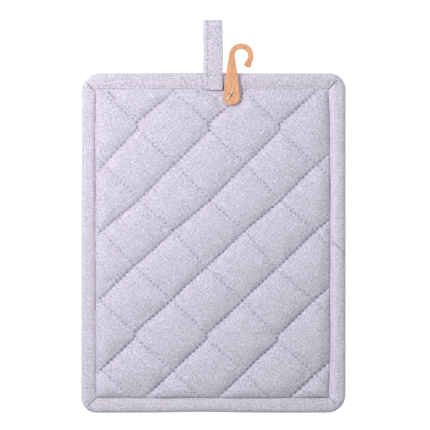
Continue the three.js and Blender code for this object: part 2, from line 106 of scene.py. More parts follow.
def eased(values: Sequence[float], t: Array | float) -> Array:
    """Read a list of values at even steps, eased from one to the next.

    Args:
        values: The values.
        t: Part of the way along the list.

    Returns:
        The value there.
    """
    at = np.clip(t, 0.0, 1.0) * (len(values) - 1)
    low = np.minimum(np.floor(at).astype(int), len(values) - 2)
    listed = np.asarray(values)
    return mix(listed[low], listed[low + 1], smooth(at - low))


def lengths(line: Array) -> Array:
    """Measure how far along a line each of its points lies.

    Args:
        line: Points, one a row.

    Returns:
        Distances from the first point.
    """
    return np.concatenate([[0.0], np.cumsum(np.hypot(*np.diff(line, axis=0).T))])


@dataclass(frozen=True)
class Unevenness:
    """Soft random heights over an area, the same on every run."""

    cell: float
    amount: float
    seed: int
    span: float = 420.0

    def at(self, x: Array | float, y: Array | float) -> Array:
        """Read the height.

        Args:
            x: Places in X.
            y: Places in Y.

        Returns:
            Heights, from -amount to amount.
        """
        turned_x = 0.83 * np.asarray(x) - 0.56 * np.asarray(y)
        turned_y = 0.56 * np.asarray(x) + 0.83 * np.asarray(y)
        count = int(self.span / self.cell) + 3
        table = np.random.default_rng(self.seed).uniform(-1.0, 1.0, (count, count))
        u = np.clip((turned_x + self.span / 2) / self.cell, 0, count - 1.001)
        v = np.clip((turned_y + self.span / 2) / self.cell, 0, count - 1.001)
        iu = np.floor(u).astype(int)
        iv = np.floor(v).astype(int)
        fu = smooth(u - iu)
        fv = smooth(v - iv)
        low = mix(table[iu, iv], table[iu + 1, iv], fu)
        high = mix(table[iu, iv + 1], table[iu + 1, iv + 1], fu)
        return self.amount * mix(low, high, fv)


def mesh_object(name: str, points: Array, faces: Sequence[Sequence[int]]) -> bpy.types.Object:
    """Make an object at the origin, smooth shaded, from points in millimetres.

    Args:
        name: The piece's name.
        points: Points, one a row.
        faces: Faces as lists of point numbers.

    Returns:
        The new object.
    """
    mesh = bpy.data.meshes.new(name)
    mesh.from_pydata((np.asarray(points) * MM).tolist(), [], [tuple(map(int, f)) for f in faces])
    mesh.validate()
    mesh.shade_smooth()
    made = bpy.data.objects.new(name, mesh)
    bpy.context.scene.collection.objects.link(made)
    return made


def add_value(made: bpy.types.Object, name: str, values: Array) -> None:
    """Store one number for each point, for a material to read.

    Args:
        made: The object.
        name: The attribute's name.
        values: The numbers.
    """
    layer = made.data.attributes.new(name, "FLOAT", "POINT")
    layer.data.foreach_set("value", np.asarray(values, dtype=np.float32).ravel())


def add_map(made: bpy.types.Object, name: str, first: Array, second: Array) -> None:
    """Store a UV map on a piece whose points are in rows.

    Args:
        made: The object.
        name: The map's name.
        first: The map's first number, a column for each row or a row for all.
        second: Its second number, the same way.
    """
    places = np.stack(np.broadcast_arrays(first, second), axis=-1).reshape(-1, 2)
    layer = made.data.uv_layers.new(name=name)
    corner = np.zeros(len(made.data.loops), dtype=np.int32)
    made.data.loops.foreach_get("vertex_index", corner)
    layer.data.foreach_set("uv", places.astype(np.float32)[corner].ravel())


def grid_faces(rows: int, columns: int, first: int = 0, down: bool = False) -> Array:
    """List the quads of a grid of points, row by row.

    Args:
        rows: Rows of points.
        columns: Points in a row.
        first: Number of the grid's first point.
        down: Whether the faces are turned over.

    Returns:
        Quads, one a row.
    """
    r, c = np.meshgrid(np.arange(rows - 1), np.arange(columns - 1), indexing="ij")
    a = (first + r * columns + c).ravel()
    quads = np.stack([a, a + columns, a + columns + 1, a + 1], axis=1)
    return quads[:, ::-1] if down else quads


def tube_faces(rings: int, count: int, closed: bool) -> list[tuple[int, ...]]:
    """List the faces of a tube of rings.

    Args:
        rings: Number of rings.
        count: Points in a ring.
        closed: Whether the last ring joins the first; if not, both ends are capped.

    Returns:
        Faces, the ends as single polygons.
    """
    faces: list[tuple[int, ...]] = []
    for ring in range(rings if closed else rings - 1):
        a = ring * count
        b = ((ring + 1) % rings) * count
        for k in range(count):
            after = (k + 1) % count
            faces.append((a + k, b + k, b + after, a + after))
    if not closed:
        faces.append(tuple(range(count)))
        faces.append(tuple(range((rings - 1) * count, rings * count))[::-1])
    return faces


def outward(made: bpy.types.Object) -> None:
    """Turn a closed piece's faces out, if they point in.

    Args:
        made: The piece.
    """
    mesh = made.data
    mesh.calc_loop_triangles()
    points = np.array([v.co for v in mesh.vertices])
    corners = np.array([t.vertices for t in mesh.loop_triangles])
    a, b, c = points[corners[:, 0]], points[corners[:, 1]], points[corners[:, 2]]
    if np.einsum("ij,ij->i", a, np.cross(b, c)).sum() < 0:
        mesh.flip_normals()


# ---- the body's outline


class Side(Enum):
    """One side of the body."""

    LEFT = "left"
    RIGHT = "right"
    BOTTOM = "bottom"
    TOP = "top"

    @property
    def sign(self) -> int:
        """The way out of the body along the side's own axis."""
        return -1 if self in (Side.LEFT, Side.BOTTOM) else 1

    @property
    def level(self) -> bool:
        """Whether the side runs along X."""
        return self in (Side.BOTTOM, Side.TOP)


@dataclass(frozen=True)
class Edge:
    """One side's binding width, at even steps along it, and the slow wave of its outer edge."""

    widths: tuple[float, ...]
    wave_at: float = 0.0
    wave_reach: float = 60.0
    wave_by: float = 0.0


@dataclass(frozen=True)
class Corner:
    """A rounded corner of the body, where an upright side meets a level one."""

    upright: Side
    level: Side
    radius: float


@dataclass(frozen=True)
class Body:
    """The bound body's outline: its outer edge, and the binding's inner edge."""

    left: float
    right: float
    bottom: float
    top: float
    edges: dict[Side, Edge] = field(default_factory=lambda: {
        Side.TOP: Edge((11.7, 11.6, 11.9, 11.9, 11.7, 11.6, 11.7), -8.0, 30.0, 0.4),
        Side.BOTTOM: Edge((11.0, 11.1, 10.7, 10.5, 10.9, 11.2, 11.2), -9.0, 25.0, -0.6),
        Side.LEFT: Edge((11.0, 11.1, 11.0, 10.8, 10.7, 10.4, 10.8), 100.0, 60.0, -0.5),
        Side.RIGHT: Edge((13.2, 11.7, 11.7, 11.6, 11.5, 11.9, 13.3)),
    })
    corners: tuple[Corner, ...] = (
        Corner(Side.LEFT, Side.BOTTOM, 11.5),
        Corner(Side.RIGHT, Side.BOTTOM, 14.0),
        Corner(Side.RIGHT, Side.TOP, 12.5),
        Corner(Side.LEFT, Side.TOP, 14.4),
    )

    @classmethod
    def from_frame(cls, top_wave: float = 0.4) -> "Body":
        """Read the body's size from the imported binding.

        Args:
            top_wave: How far the top edge's wave reaches past its base line.

        Returns:
            The body.
        """
        low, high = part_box("binding")
        return cls(low[0] / MM, high[0] / MM, low[1] / MM, high[1] / MM - top_wave)

    def base(self, side: Side) -> float:
        """Give a side's outer edge without its wave."""
        return getattr(self, side.value)

    def outer(self, side: Side, at: Array | float) -> Array:
        """Give the outer edge.

        Args:
            side: The side.
            at: Places along the side.

        Returns:
            The edge's X on an upright side, its Y on a level one.
        """
        edge = self.edges[side]
        wave = edge.wave_by * bell(np.asarray(at) - edge.wave_at, edge.wave_reach)
        return self.base(side) + side.sign * wave

    def width(self, side: Side, at: Array | float) -> Array:
        """Give the binding's width seen from the front, at places along a side."""
        low, high = (self.left, self.right) if side.level else (self.bottom, self.top)
        return eased(self.edges[side].widths, (np.asarray(at) - low) / (high - low))

    def inner(self, side: Side, at: Array | float) -> Array:
        """Give the binding's inner edge, as outer() gives the outer one."""
        return self.outer(side, at) - side.sign * self.width(side, at)

    def inside(self, x: Array, y: Array) -> Array:
        """Give how far places lie inside the binding's inner edge, below 0 under the binding.

        Args:
            x: Places in X.
            y: Places in Y.

        Returns:
            Distances.
        """
        across = np.minimum(x - self.inner(Side.LEFT, y), self.inner(Side.RIGHT, y) - x)
        down = np.minimum(y - self.inner(Side.BOTTOM, x), self.inner(Side.TOP, x) - y)
        return np.minimum(across, down)

    def lower_right(self, x: Array, y: Array, reach: float, ease: float) -> tuple[Array, Array]:
        """Give 1 beside the right and beside the bottom edge, and 0 away from them.

        Args:
            x: Places in X.
            y: Places in Y.
            reach: How far in from the outer edge they reach.
            ease: Over how much they ease out.

        Returns:
            Parts for the right and for the bottom.
        """
        right = smooth((x - self.right + reach) / ease)
        bottom = smooth((self.bottom + reach - y) / ease)
        return right, bottom

    def inner_corner(self, corner: Corner) -> tuple[float, float]:
        """Find where the inner edges of a corner's two sides meet.

        Args:
            corner: The corner.

        Returns:
            X and Y.
        """
        x, y = self.base(corner.upright), self.base(corner.level)
        for _ in range(4):
            x = float(self.inner(corner.upright, y))
            y = float(self.inner(corner.level, x))
        return x, y


# ---- the quilting's lattice


class Slant(Enum):
    """Which way a quilting line runs: up to the right, or down to the right."""

    RISING = 1
    FALLING = -1


@dataclass(frozen=True)
class Row:
    """A row of the lattice: its height, its tilt a column, its lean and half its upright run.

    The lean is how far to the right of their own X the columns are at this row.
    """

    y: float
    tilt: float = 0.0
    lean: float = 0.0
    run: float = 0.0


@dataclass(frozen=True)
class Lattice:
    """Columns and rows whose diagonals are the quilting lines.

    Lines cross where column and row numbers add up to an even number. On a row with a run
    both lines go straight up together for a stitch or two before they part again.
    """

    columns: tuple[float, ...] = (-111.0, -84.4, -58.0, -30.0, -3.9, 23.6, 49.4, 77.2, 105.0)
    rows: tuple[Row, ...] = (
        Row(120.5), Row(93.9), Row(67.5, -0.3, 0.9, 2.4), Row(39.0, 0.0, 1.1), Row(12.0, 0.0, 1.6),
        Row(-11.5, 0.0, -0.2), Row(-39.0, -0.45, -1.7), Row(-63.7, -0.1, -1.5),
        Row(-91.5, -0.6, -1.1, 1.9), Row(-117.8, -0.6, -0.4), Row(-144.0, -0.85), Row(-171.0, -0.85),
    )
    first: int = -1
    tilt_column: int = 3
    wander_x: Unevenness = Unevenness(31.0, 0.45, 11)
    wander_y: Unevenness = Unevenness(27.0, 0.45, 12)

    @property
    def stations(self) -> Array:
        """List the bends of the rows, from the top down.

        Returns:
            Row number, Y and tilt, a bend in each row.
        """
        found = []
        for number, row in enumerate(self.rows, self.first):
            for way in ((1, -1) if row.run else (0,)):
                found.append((number, row.y + way * row.run, row.tilt))
        return np.array(found)

    def column_x(self, i: Array | float) -> Array:
        """Give the X of a column number."""
        return np.interp(i, np.arange(len(self.columns)) + self.first, self.columns)

    def lean(self, y: Array | float) -> Array:
        """Give how far the columns have leant to the right at a Y."""
        return np.interp(y, [row.y for row in self.rows[::-1]], [row.lean for row in self.rows[::-1]])

    def row_number(self, s: Array | float) -> Array:
        """Give the row number at a station number."""
        stations = self.stations
        return np.interp(s, np.arange(len(stations)), stations[:, 0])

    def place(self, i: Array, s: Array, level: Array | float = 1.0) -> tuple[Array, Array]:
        """Find the place of a column number and a station number.

        Args:
            i: Column numbers.
            s: Station numbers.
            level: How much of the rows' tilt is kept.

        Returns:
            X and Y.
        """
        stations = self.stations
        count = np.arange(len(stations))
        tilt = np.interp(s, count, stations[:, 2]) * level
        y = np.interp(s, count, stations[:, 1]) + tilt * (i - self.tilt_column)
        x = self.column_x(i) + self.lean(y)
        return x + self.wander_x.at(x, y), y + self.wander_y.at(x, y)

    def numbers(self, x: Array, y: Array) -> tuple[Array, Array]:
        """Find the column and row numbers of places.

        Args:
            x: Places in X.
            y: Places in Y.

        Returns:
            Column numbers and row numbers.
        """
        plain_y = y - self.wander_y.at(x, y)
        plain_x = x - self.wander_x.at(x, y) - self.lean(plain_y)
        i = np.interp(plain_x, self.columns, np.arange(len(self.columns)) + self.first)
        stations = self.stations
        j = np.full(np.shape(i), stations[0, 0])
        for (number, high, tilt), (after, low, low_tilt) in zip(stations, stations[1:]):
            top = high + tilt * (i - self.tilt_column)
            foot = low + low_tilt * (i - self.tilt_column)
            part = np.clip((top - plain_y) / (top - foot), 0.0, 1.0)
            j = np.where(plain_y <= top, number + (after - number) * part, j)
        return i, j

    def puff(self, x: Array, y: Array, fullness: float, falling_depth: float) -> Array:
        """Give 0 on a rising quilting line and 1 in the middle of a diamond.

        Args:
            x: Places in X.
            y: Places in Y.
            fullness: Below 1 the diamonds are fuller towards their lines.
            falling_depth: How deep a falling line is, as a part of a rising one's depth.

        Returns:
            Parts of the full height.
        """
        i, j = self.numbers(x, y)
        rising = np.abs(np.sin(np.pi * (i + j) / 2)) ** fullness
        falling = np.abs(np.sin(np.pi * (i - j) / 2)) ** fullness
        return rising * (1 - falling_depth + falling_depth * falling)


@dataclass(frozen=True)
class SewnRow:
    """Needle holes along one quilting line, X and Y in a row each."""

    slant: Slant
    holes: Array


@dataclass(frozen=True)
class SewnLines:
    """Where the quilting is sewn: needle holes at an even pitch along every line."""

    lattice: Lattice
    body: Body
    pitch: float = 3.5
    clear: float = 1.0
    fewest: int = 12

    def rows(self) -> Iterator[SewnRow]:
        """Walk along each line.

        Yields:
            The line's holes.
        """
        stations = self.lattice.stations
        s = np.linspace(0, len(stations) - 1, 40 * (len(stations) - 1) + 1)
        j = self.lattice.row_number(s)
        for slant in Slant:
            for total in range(-10, 18, 2):
                i = total - slant.value * j
                x, y = self.lattice.place(i, s)
                spot = self.body.inside(x, y) > self.clear
                spot &= (i > -1) & (i < len(self.lattice.columns) - 2)
                if spot.sum() < self.fewest:
                    continue
                x, y = x[spot], y[spot]
                run = lengths(np.stack([x, y], axis=1))
                at = np.linspace(0.0, run[-1], max(int(run[-1] / self.pitch), 2))
                yield SewnRow(slant, np.stack([np.interp(at, run, x), np.interp(at, run, y)], axis=1))


@dataclass(frozen=True)
class Grid:
    """A sheet of points on the lattice's own lines, reaching under the binding."""

    lattice: Lattice
    body: Body
    steps: int
    binding: float = 11.4
    margin: float = 6.5
    level_from: float = -134.0

    def lines(self) -> tuple[Array, Array]:
        """Number the grid's lines.

        Returns:
            Column numbers and station numbers.
        """
        reach = self.binding - self.margin
        columns, stations = self.lattice.columns, self.lattice.stations
        number = np.arange(len(columns)) + self.lattice.first
        low = np.interp(self.body.left + reach, columns, number)
        high = np.interp(self.body.right - reach, columns, number)
        height = stations[::-1, 1]
        count = np.arange(len(stations))[::-1]
        top = np.interp(self.body.top - reach, height, count)
        foot = np.interp(self.body.bottom + reach, height, count)
        return self.between(low, high, None), self.between(top, foot, stations)

    def between(self, low: float, high: float, stations: Array | None) -> Array:
        """Give the numbers between two ends, in even steps, fewer where a run is short.

        Args:
            low: The first number.
            high: The last number.
            stations: The lattice's stations, or None for its columns.

        Returns:
            The numbers.
        """
        found = [low]
        for cell in range(math.floor(low), math.ceil(high)):
            short = stations is not None and stations[cell, 0] == stations[cell + 1, 0]
            steps = max(3, self.steps // 5) if short else self.steps
            found += [cell + k / steps for k in range(steps)]
        slack = 0.4 / self.steps
        inner = [n for n in found if low + slack < n < high - slack]
        return np.array([low, *inner, high])

    def places(self, us: Array, vs: Array) -> tuple[Array, Array]:
        """Find the grid's points, its corners rounded and its last rows levelled.

        Args:
            us: Column numbers.
            vs: Station numbers.

        Returns:
            X and Y, a row of the grid in each row.
        """
        i, s = np.meshgrid(us, vs)
        y_of_row = np.interp(vs, np.arange(len(self.lattice.stations)), self.lattice.stations[:, 1])
        floor = self.body.bottom + self.binding - self.margin
        level = 1 - smooth((self.level_from - y_of_row) / (self.level_from - floor))
        x, y = self.lattice.place(i, s, level[:, None])
        for corner in self.body.corners:
            at_x, at_y = self.body.inner_corner(corner)
            dx = (x - at_x) * corner.upright.sign
            dy = (y - at_y) * corner.level.sign
            out = (dx > 0) & (dy > 0)
            scale = np.maximum(dx, dy) / np.maximum(np.hypot(dx, dy), 1e-9)
            x = np.where(out, at_x + (x - at_x) * scale, x)
            y = np.where(out, at_y + (y - at_y) * scale, y)
        return x, y


def spread(fine: Array, coarse: Array) -> Array:
    """Make the weights that carry values smoothly from coarse lines to fine ones.

    Args:
        fine: Numbers of the fine lines.
        coarse: Numbers of the coarse lines.

    Returns:
        A matrix, a row for each fine line.
    """
    at = np.interp(fine, coarse, np.arange(len(coarse)))
    base = np.minimum(np.floor(at).astype(int), len(coarse) - 2)
    t = at - base
    weights = np.zeros((len(fine), len(coarse)))
    parts = (
        -0.5 * t + t**2 - 0.5 * t**3,
        1 - 2.5 * t**2 + 1.5 * t**3,
        0.5 * t + 2 * t**2 - 1.5 * t**3,
        -0.5 * t**2 + 0.5 * t**3,
    )
    for offset, part in enumerate(parts, -1):
        column = np.clip(base + offset, 0, len(coarse) - 1)
        np.add.at(weights, (np.arange(len(fine)), column), part)
    return weights


@dataclass(frozen=True)
class Filling:
    """How the wadding swells the cloth between its sewn lines, by cloth simulation."""

    steps: int = 16
    frames: int = 20
    pressure: float = 0.8
    growth: float = 0.01
    bending: float = 0.05
    most: float = 0.4
    pinned_within: float = 0.9
    pinned_over: float = 0.42
    pinned_edge: float = 0.5

    def swell(self, x: Array, y: Array, z: Array, held: Array) -> Array:
        """Swell a sheet between its held points.

        Args:
            x: The sheet's X, in rows.
            y: Its Y.
            z: Its heights.
            held: 1 on points that are held, 0 on free ones.

        Returns:
            How far each point rises.
        """
        points = np.stack([x, y, z], axis=-1).reshape(-1, 3)
        made = mesh_object("filling", points, grid_faces(*x.shape))
        group = made.vertex_groups.new(name="sewn")
        for number in np.flatnonzero(held.ravel() > 0.5):
            group.add([int(number)], 1.0, "REPLACE")
        cloth = made.modifiers.new("Swell", "CLOTH")
        settings = cloth.settings
        settings.quality = 5
        settings.mass = 0.1
        settings.tension_stiffness = 5
        settings.compression_stiffness = 5
        settings.shear_stiffness = 2
        settings.bending_stiffness = self.bending
        settings.use_pressure = True
        settings.uniform_pressure_force = self.pressure
        settings.effector_weights.gravity = 0
        settings.vertex_group_mass = "sewn"
        settings.shrink_min = -self.growth
        cloth.point_cache.frame_start = 1
        cloth.point_cache.frame_end = self.frames
        scene = bpy.context.scene
        for number in range(1, self.frames + 1):
            scene.frame_set(number)
        graph = bpy.context.evaluated_depsgraph_get()
        result = made.evaluated_get(graph).to_mesh()
        after = np.zeros(len(points) * 3, dtype=np.float32)
        result.vertices.foreach_get("co", after)
        made.evaluated_get(graph).to_mesh_clear()
        scene.frame_set(1)
        mesh = made.data
        bpy.data.objects.remove(made)
        bpy.data.meshes.remove(mesh)
        risen = after.reshape(-1, 3)[:, 2] / MM - points[:, 2]
        log.info("filling rises %.2f to %.2f mm", risen.min(), risen.max())
        return np.clip(risen, -self.most, self.most).reshape(x.shape)


@dataclass(frozen=True)
class Fold:
    """A fold pressed along a line: its ends, its depth, its half width and how much painted shade
    darkens it.
    """

    start: tuple[float, float]
    stop: tuple[float, float]
    depth: float
    reach: float
    dark: float

    def at(self, x: Array, y: Array) -> Array:
        """Give 1 on the fold, falling to 0 beside it and past its ends.

        Args:
            x: Places in X.
            y: Places in Y.

        Returns:
            Parts of the fold's depth.
        """
        way = np.subtract(self.stop, self.start)
        length = float(np.hypot(*way))
        dx, dy = x - self.start[0], y - self.start[1]
        along = (dx * way[0] + dy * way[1]) / length
        past = np.maximum(0, np.maximum(-along, along - length))
        return bell((dx * way[1] - dy * way[0]) / length, self.reach) * bell(past, 1.0)

    def painted_shade_at(self, x: Array, y: Array) -> Array:
        """Give how much painted shade the fold puts on its places."""
        return self.dark * self.at(x, y)


@dataclass(frozen=True)
class TapePress:
    """Where the tape's back leg presses the back up: its half width, and how far it reaches down."""

    half: float
    below_top: float
    middle: float = -0.4
    slope: float = 14.0

    def at(self, x: Array, y: Array, top: float) -> Array:
        """Give how far places are pressed up.

        Args:
            x: Places in X.
            y: Places in Y.
            top: The body's top.

        Returns:
            Parts from 0 to 1.
        """
        past = np.maximum(0, np.abs(x - self.middle) - self.half)
        return np.where(y < top - self.below_top, 0.0, 1 - smooth(past / self.slope))


@dataclass
class QuiltedPanel:
    """The two cloths and their wadding, quilted together in diamonds."""

    body: Body
    lattice: Lattice
    crown: float = 9.9
    crown_slope: float = 0.0035
    channel: float = 6.3
    channel_slope: float = -0.003
    back_channel: float = 2.0
    back_swell: float = 1.5
    fullness: float = 0.5
    falling_depth: float = 0.42
    edge_front: float = 5.0
    edge_lit: float = 0.8
    edge_hidden: float = 5.1
    edge_from: float = 20.0
    edge_ease: float = 6.0
    hidden_step: float = 0.3
    lowest_front: float = 3.6
    edge_back: float = 1.9
    edge_back_pressed: float = 3.7
    edge_rise: float = 10.0
    press: TapePress = TapePress(12.0, 23.0)
    hook_base: tuple[float, float] = (13.7, 90.2)
    under_hook: tuple[float, float, float] = (6.8, 0.55, 10.5)
    under_tape: tuple[float, float, float] = (5.8, 0.7, 9.5)
    tape_end: float = 93.6
    front_steps: int = 33
    back_steps: int = 18
    groove: float = 0.1
    groove_reach: float = 1.0
    cell_width: float = 18.9
    pits: tuple[tuple[Slant, float, float], ...] = (
        (Slant.RISING, 1.5, 0.4), (Slant.FALLING, 0.55, 0.0),
    )
    pit_reach: float = 1.05
    back_pit: float = 0.35
    back_pit_reach: float = 1.3
    # Painted shade: the cloth is darkened round each needle hole and along the corner fold, where shade
    # falls in them.
    hole_painted_shade_reach: float = 0.75
    hole_painted_shade: float = 0.5
    corner_mark: Fold = Fold((-79.2, 94.0), (-74.4, 88.4), 1.0, 1.5, 0.5)
    thread_lift: float = 0.02
    filling: Filling = Filling()
    wadding: tuple[Unevenness, ...] = (
        Unevenness(17.0, 0.22, 21), Unevenness(7.5, 0.13, 22), Unevenness(3.6, 0.06, 23),
    )

    def __post_init__(self) -> None:
        """Lay out the sewn lines and the front's grid."""
        self.sewn = list(SewnLines(self.lattice, self.body).rows())
        self.grid = Grid(self.lattice, self.body, self.front_steps)
        self.us, self.vs = self.grid.lines()
        self.x, self.y = self.grid.places(self.us, self.vs)
        self.front = self.front_heights(self.x, self.y)

    def rise(self, x: Array, y: Array) -> Array:
        """Give how far the panel has risen from the binding to its full height."""
        part = np.clip(self.body.inside(x, y) / self.edge_rise, 0.0, 1.0)
        return np.sqrt(1.0 - (1.0 - part) ** 2)

    def edge(self, x: Array, y: Array) -> Array:
        """Give how high the front leaves the binding, more on the left and at the top.

        Args:
            x: Places in X.
            y: Places in Y.

        Returns:
            Heights.
        """
        near = np.maximum(*self.body.lower_right(x, y, self.edge_from, self.edge_ease))
        return self.edge_front + self.edge_lit * (1.0 - near)

    def quilted(self, x: Array, y: Array) -> Array:
        """Give the front's height from its crowns, its channels and its edge alone.

        Args:
            x: Places in X.
            y: Places in Y.

        Returns:
            Heights.
        """
        crown = self.crown + self.crown_slope * (x - y)
        channel = self.channel + self.channel_slope * (x - y)
        full = mix(channel, crown, self.lattice.puff(x, y, self.fullness, self.falling_depth))
        return mix(self.edge(x, y), full, self.rise(x, y))

    def pressed(self, x: Array, y: Array, z: Array) -> Array:
        """Hold heights down under the hook's base and the tape's front end.

        Args:
            x: Places in X.
            y: Places in Y.
            z: Heights.

        Returns:
            The heights held down.
        """
        height, slope, reach = self.under_hook
        from_hook = np.hypot(x - self.hook_base[0], y - self.hook_base[1])
        under_hook = height + slope * np.maximum(0, from_hook - reach)
        height, slope, reach = self.under_tape
        beside = np.maximum(0, np.abs(x - self.press.middle) - reach)
        under_tape = height + slope * np.hypot(beside, np.maximum(0, self.tape_end - y))
        return np.minimum(z, np.minimum(under_hook, under_tape))

    def dimples(
        self, x: Array, y: Array, reach: float,
        slants: Sequence[Slant] = tuple(Slant), aside: float = 0.0,
    ) -> Array:
        """Give 1 at a needle hole, falling to 0 round it.

        Args:
            x: Places in X.
            y: Places in Y.
            reach: The dimple's reach.
            slants: Which lines' holes count.
            aside: How far the dimples lie to the lower right of their holes.

        Returns:
            Parts of the dimple's depth.
        """
        found = np.zeros(x.size)
        flat_x, flat_y = x.ravel(), y.ravel()
        order = np.argsort(flat_y)
        sorted_y = flat_y[order]
        spent = 2.6
        far = spent * reach
        holes = np.concatenate([row.holes for row in self.sewn if row.slant in slants])
        for hole_x, hole_y in holes + np.array([aside, -aside]) / math.sqrt(2):
            low, high = np.searchsorted(sorted_y, [hole_y - far, hole_y + far])
            near = order[low:high]
            near = near[np.abs(flat_x[near] - hole_x) < far]
            gap = np.hypot(flat_x[near] - hole_x, flat_y[near] - hole_y)
            found[near] = np.maximum(found[near], bell(gap, reach))
        return found.reshape(x.shape)

    def seam(self, x: Array, y: Array) -> Array:
        """Give 1 on a rising sewn line, falling to 0 beside it.

        Args:
            x: Places in X.
            y: Places in Y.

        Returns:
            Parts of the seam's depth.
        """
        i, j = self.lattice.numbers(x, y)
        return bell(np.abs(i + j - 2 * np.round((i + j) / 2)) * self.cell_width, self.groove_reach)

    def swollen(self) -> Array:
        """Simulate the filled cloth and carry its shape to the front's grid.

        Returns:
            How far each of the grid's points rises.
        """
        coarse = Grid(self.lattice, self.body, self.filling.steps)
        us, vs = coarse.lines()
        x, y = coarse.places(us, vs)
        z = self.pressed(x, y, self.quilted(x, y))
        held = self.dimples(x, y, self.filling.pinned_within) > self.filling.pinned_over
        held |= self.body.inside(x, y) < self.filling.pinned_edge
        risen = self.filling.swell(x, y, z, held)
        return spread(self.vs, vs) @ risen @ spread(self.us, us).T

    def front_heights(self, x: Array, y: Array) -> Array:
        """Work out the front's finished height at the grid's points.

        Args:
            x: The grid's X.
            y: The grid's Y.

        Returns:
            Heights.
        """
        lift = self.rise(x, y)
        z = self.quilted(x, y)
        z += lift * self.swollen()
        z += lift * sum(bumps.at(x, y) for bumps in self.wadding)
        z -= lift * self.groove * self.seam(x, y)
        for slant, depth, aside in self.pits:
            z -= lift * depth * self.dimples(x, y, self.pit_reach, [slant], aside)
        z -= lift * self.corner_mark.depth * self.corner_mark.at(x, y)
        hidden = self.body.inside(x, y) < 0
        under = np.minimum(self.edge_hidden, self.edge(x, y) - self.hidden_step)
        return np.where(hidden, under, np.maximum(self.pressed(x, y, z), self.lowest_front))

    def back_heights(self, x: Array, y: Array) -> Array:
        """Work out the back's height, flat where it is pressed on the surface.

        Args:
            x: Places in X.
            y: Places in Y.

        Returns:
            Heights.
        """
        edge = mix(self.edge_back, self.edge_back_pressed, self.press.at(x, y, self.body.top))
        puff = self.lattice.puff(x, y, self.fullness, self.falling_depth)
        full = self.back_channel - (self.back_channel + self.back_swell) * puff
        full = full + self.back_pit * self.dimples(x, y, self.back_pit_reach)
        return np.maximum(0.0, mix(edge, full, self.rise(x, y)))

    def height_at(self, x: Array, y: Array) -> Array:
        """Read the finished front's height at places inside the binding.

        Args:
            x: Places in X.
            y: Places in Y.

        Returns:
            Heights.
        """
        i, _ = self.lattice.numbers(x, y)
        u = np.interp(i, self.us, np.arange(len(self.us)))
        rows = np.interp(x, self.x[0], np.arange(len(self.us)))
        column = np.clip(np.round(rows).astype(int), 0, len(self.us) - 1)
        v = np.array([
            np.interp(-at, -self.y[:, c], np.arange(len(self.vs))) for at, c in zip(y, column)
        ])
        iu = np.clip(np.floor(u).astype(int), 0, len(self.us) - 2)
        iv = np.clip(np.floor(v).astype(int), 0, len(self.vs) - 2)
        near = mix(self.front[iv, iu], self.front[iv, iu + 1], u - iu)
        far = mix(self.front[iv + 1, iu], self.front[iv + 1, iu + 1], u - iu)
        return mix(near, far, v - iv)

    def stitch_rows(self) -> Iterator[Array]:
        """Walk along the quilting's stitches, each as high as the cloth at its middle.

        Yields:
            Needle holes, with the height of the stitch after each.
        """
        for row in self.sewn:
            middle = (row.holes + np.roll(row.holes, -1, axis=0)) / 2
            middle[-1] = row.holes[-1]
            yield np.column_stack([row.holes, self.height_at(*middle.T) + self.thread_lift])

    def needle_holes(self) -> Array:
        """List the front's needle holes with the height of the cloth at each."""
        holes = np.concatenate([row.holes for row in self.sewn])
        return np.column_stack([holes, self.height_at(*holes.T)])

    @staticmethod
    def rim(rows: int, columns: int, first: int) -> list[int]:
        """List a grid's outer points in order round it.

        Args:
            rows: The grid's rows.
            columns: The grid's columns.
            first: The number of its first point.

        Returns:
            Point numbers.
        """
        number = np.arange(rows * columns).reshape(rows, columns) + first
        parts = (number[0, :-1], number[:-1, -1], number[-1, :0:-1], number[:0:-1, 0])
        return [int(n) for part in parts for n in part]

    @staticmethod
    def join(points: Array, one: list[int], other: list[int]) -> list[tuple[int, int, int]]:
        """Close the wall between two rims that run the same way.

        Args:
            points: All points.
            one: The front's rim.
            other: The back's rim.

        Returns:
            Triangles.
        """
        def parts(rim: list[int]) -> Array:
            """Give how far round each of a rim's points lies, from 0 to 1."""
            run = lengths(points[[*rim, rim[0]], :2])
            return run / run[-1]

        at_one, at_other = parts(one), parts(other)
        triangles = []
        a = b = 0
        while a < len(one) or b < len(other):
            first, second = one[a % len(one)], other[b % len(other)]
            ahead = a < len(one) and (b == len(other) or at_one[a + 1] <= at_other[b + 1])
            if ahead:
                a += 1
                triangles.append((first, second, one[a % len(one)]))
            else:
                b += 1
                triangles.append((first, second, other[b % len(other)]))
        return triangles

    def build(self) -> bpy.types.Object:
        """Make the panel as one closed form.

        Returns:
            The panel.
        """
        rows, columns = self.x.shape
        coarse = Grid(self.lattice, self.body, self.back_steps)
        back_x, back_y = coarse.places(*coarse.lines())
        back_z = self.back_heights(back_x, back_y)
        front = np.stack([self.x, self.y, self.front], axis=-1).reshape(-1, 3)
        back = np.stack([back_x, back_y, back_z], axis=-1).reshape(-1, 3)
        points = np.concatenate([front, back])
        faces = grid_faces(rows, columns).tolist()
        faces += grid_faces(*back_x.shape, len(front), down=True).tolist()
        rims = self.rim(rows, columns, 0), self.rim(*back_x.shape, len(front))
        faces += [t[::-1] for t in self.join(points, *rims)]
        made = mesh_object("quilted_cloth", points, faces)
        outward(made)
        # Painted shade round the needle holes, front and back, and along the corner fold, stored for
        # the cloth's material.
        painted_light_and_shade = self.hole_painted_shade * self.dimples(self.x, self.y, self.hole_painted_shade_reach)
        painted_light_and_shade = np.maximum(painted_light_and_shade, self.corner_mark.painted_shade_at(self.x, self.y))
        back_painted_shade = self.dimples(back_x, back_y, self.hole_painted_shade_reach)
        add_value(made, "painted_light_and_shade", np.concatenate([painted_light_and_shade.ravel(), back_painted_shade.ravel()]))
        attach(made, "root")
        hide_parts("quilted_panel")
        log.info("quilted cloth: %d points", len(points))
        return made


# ---- the binding


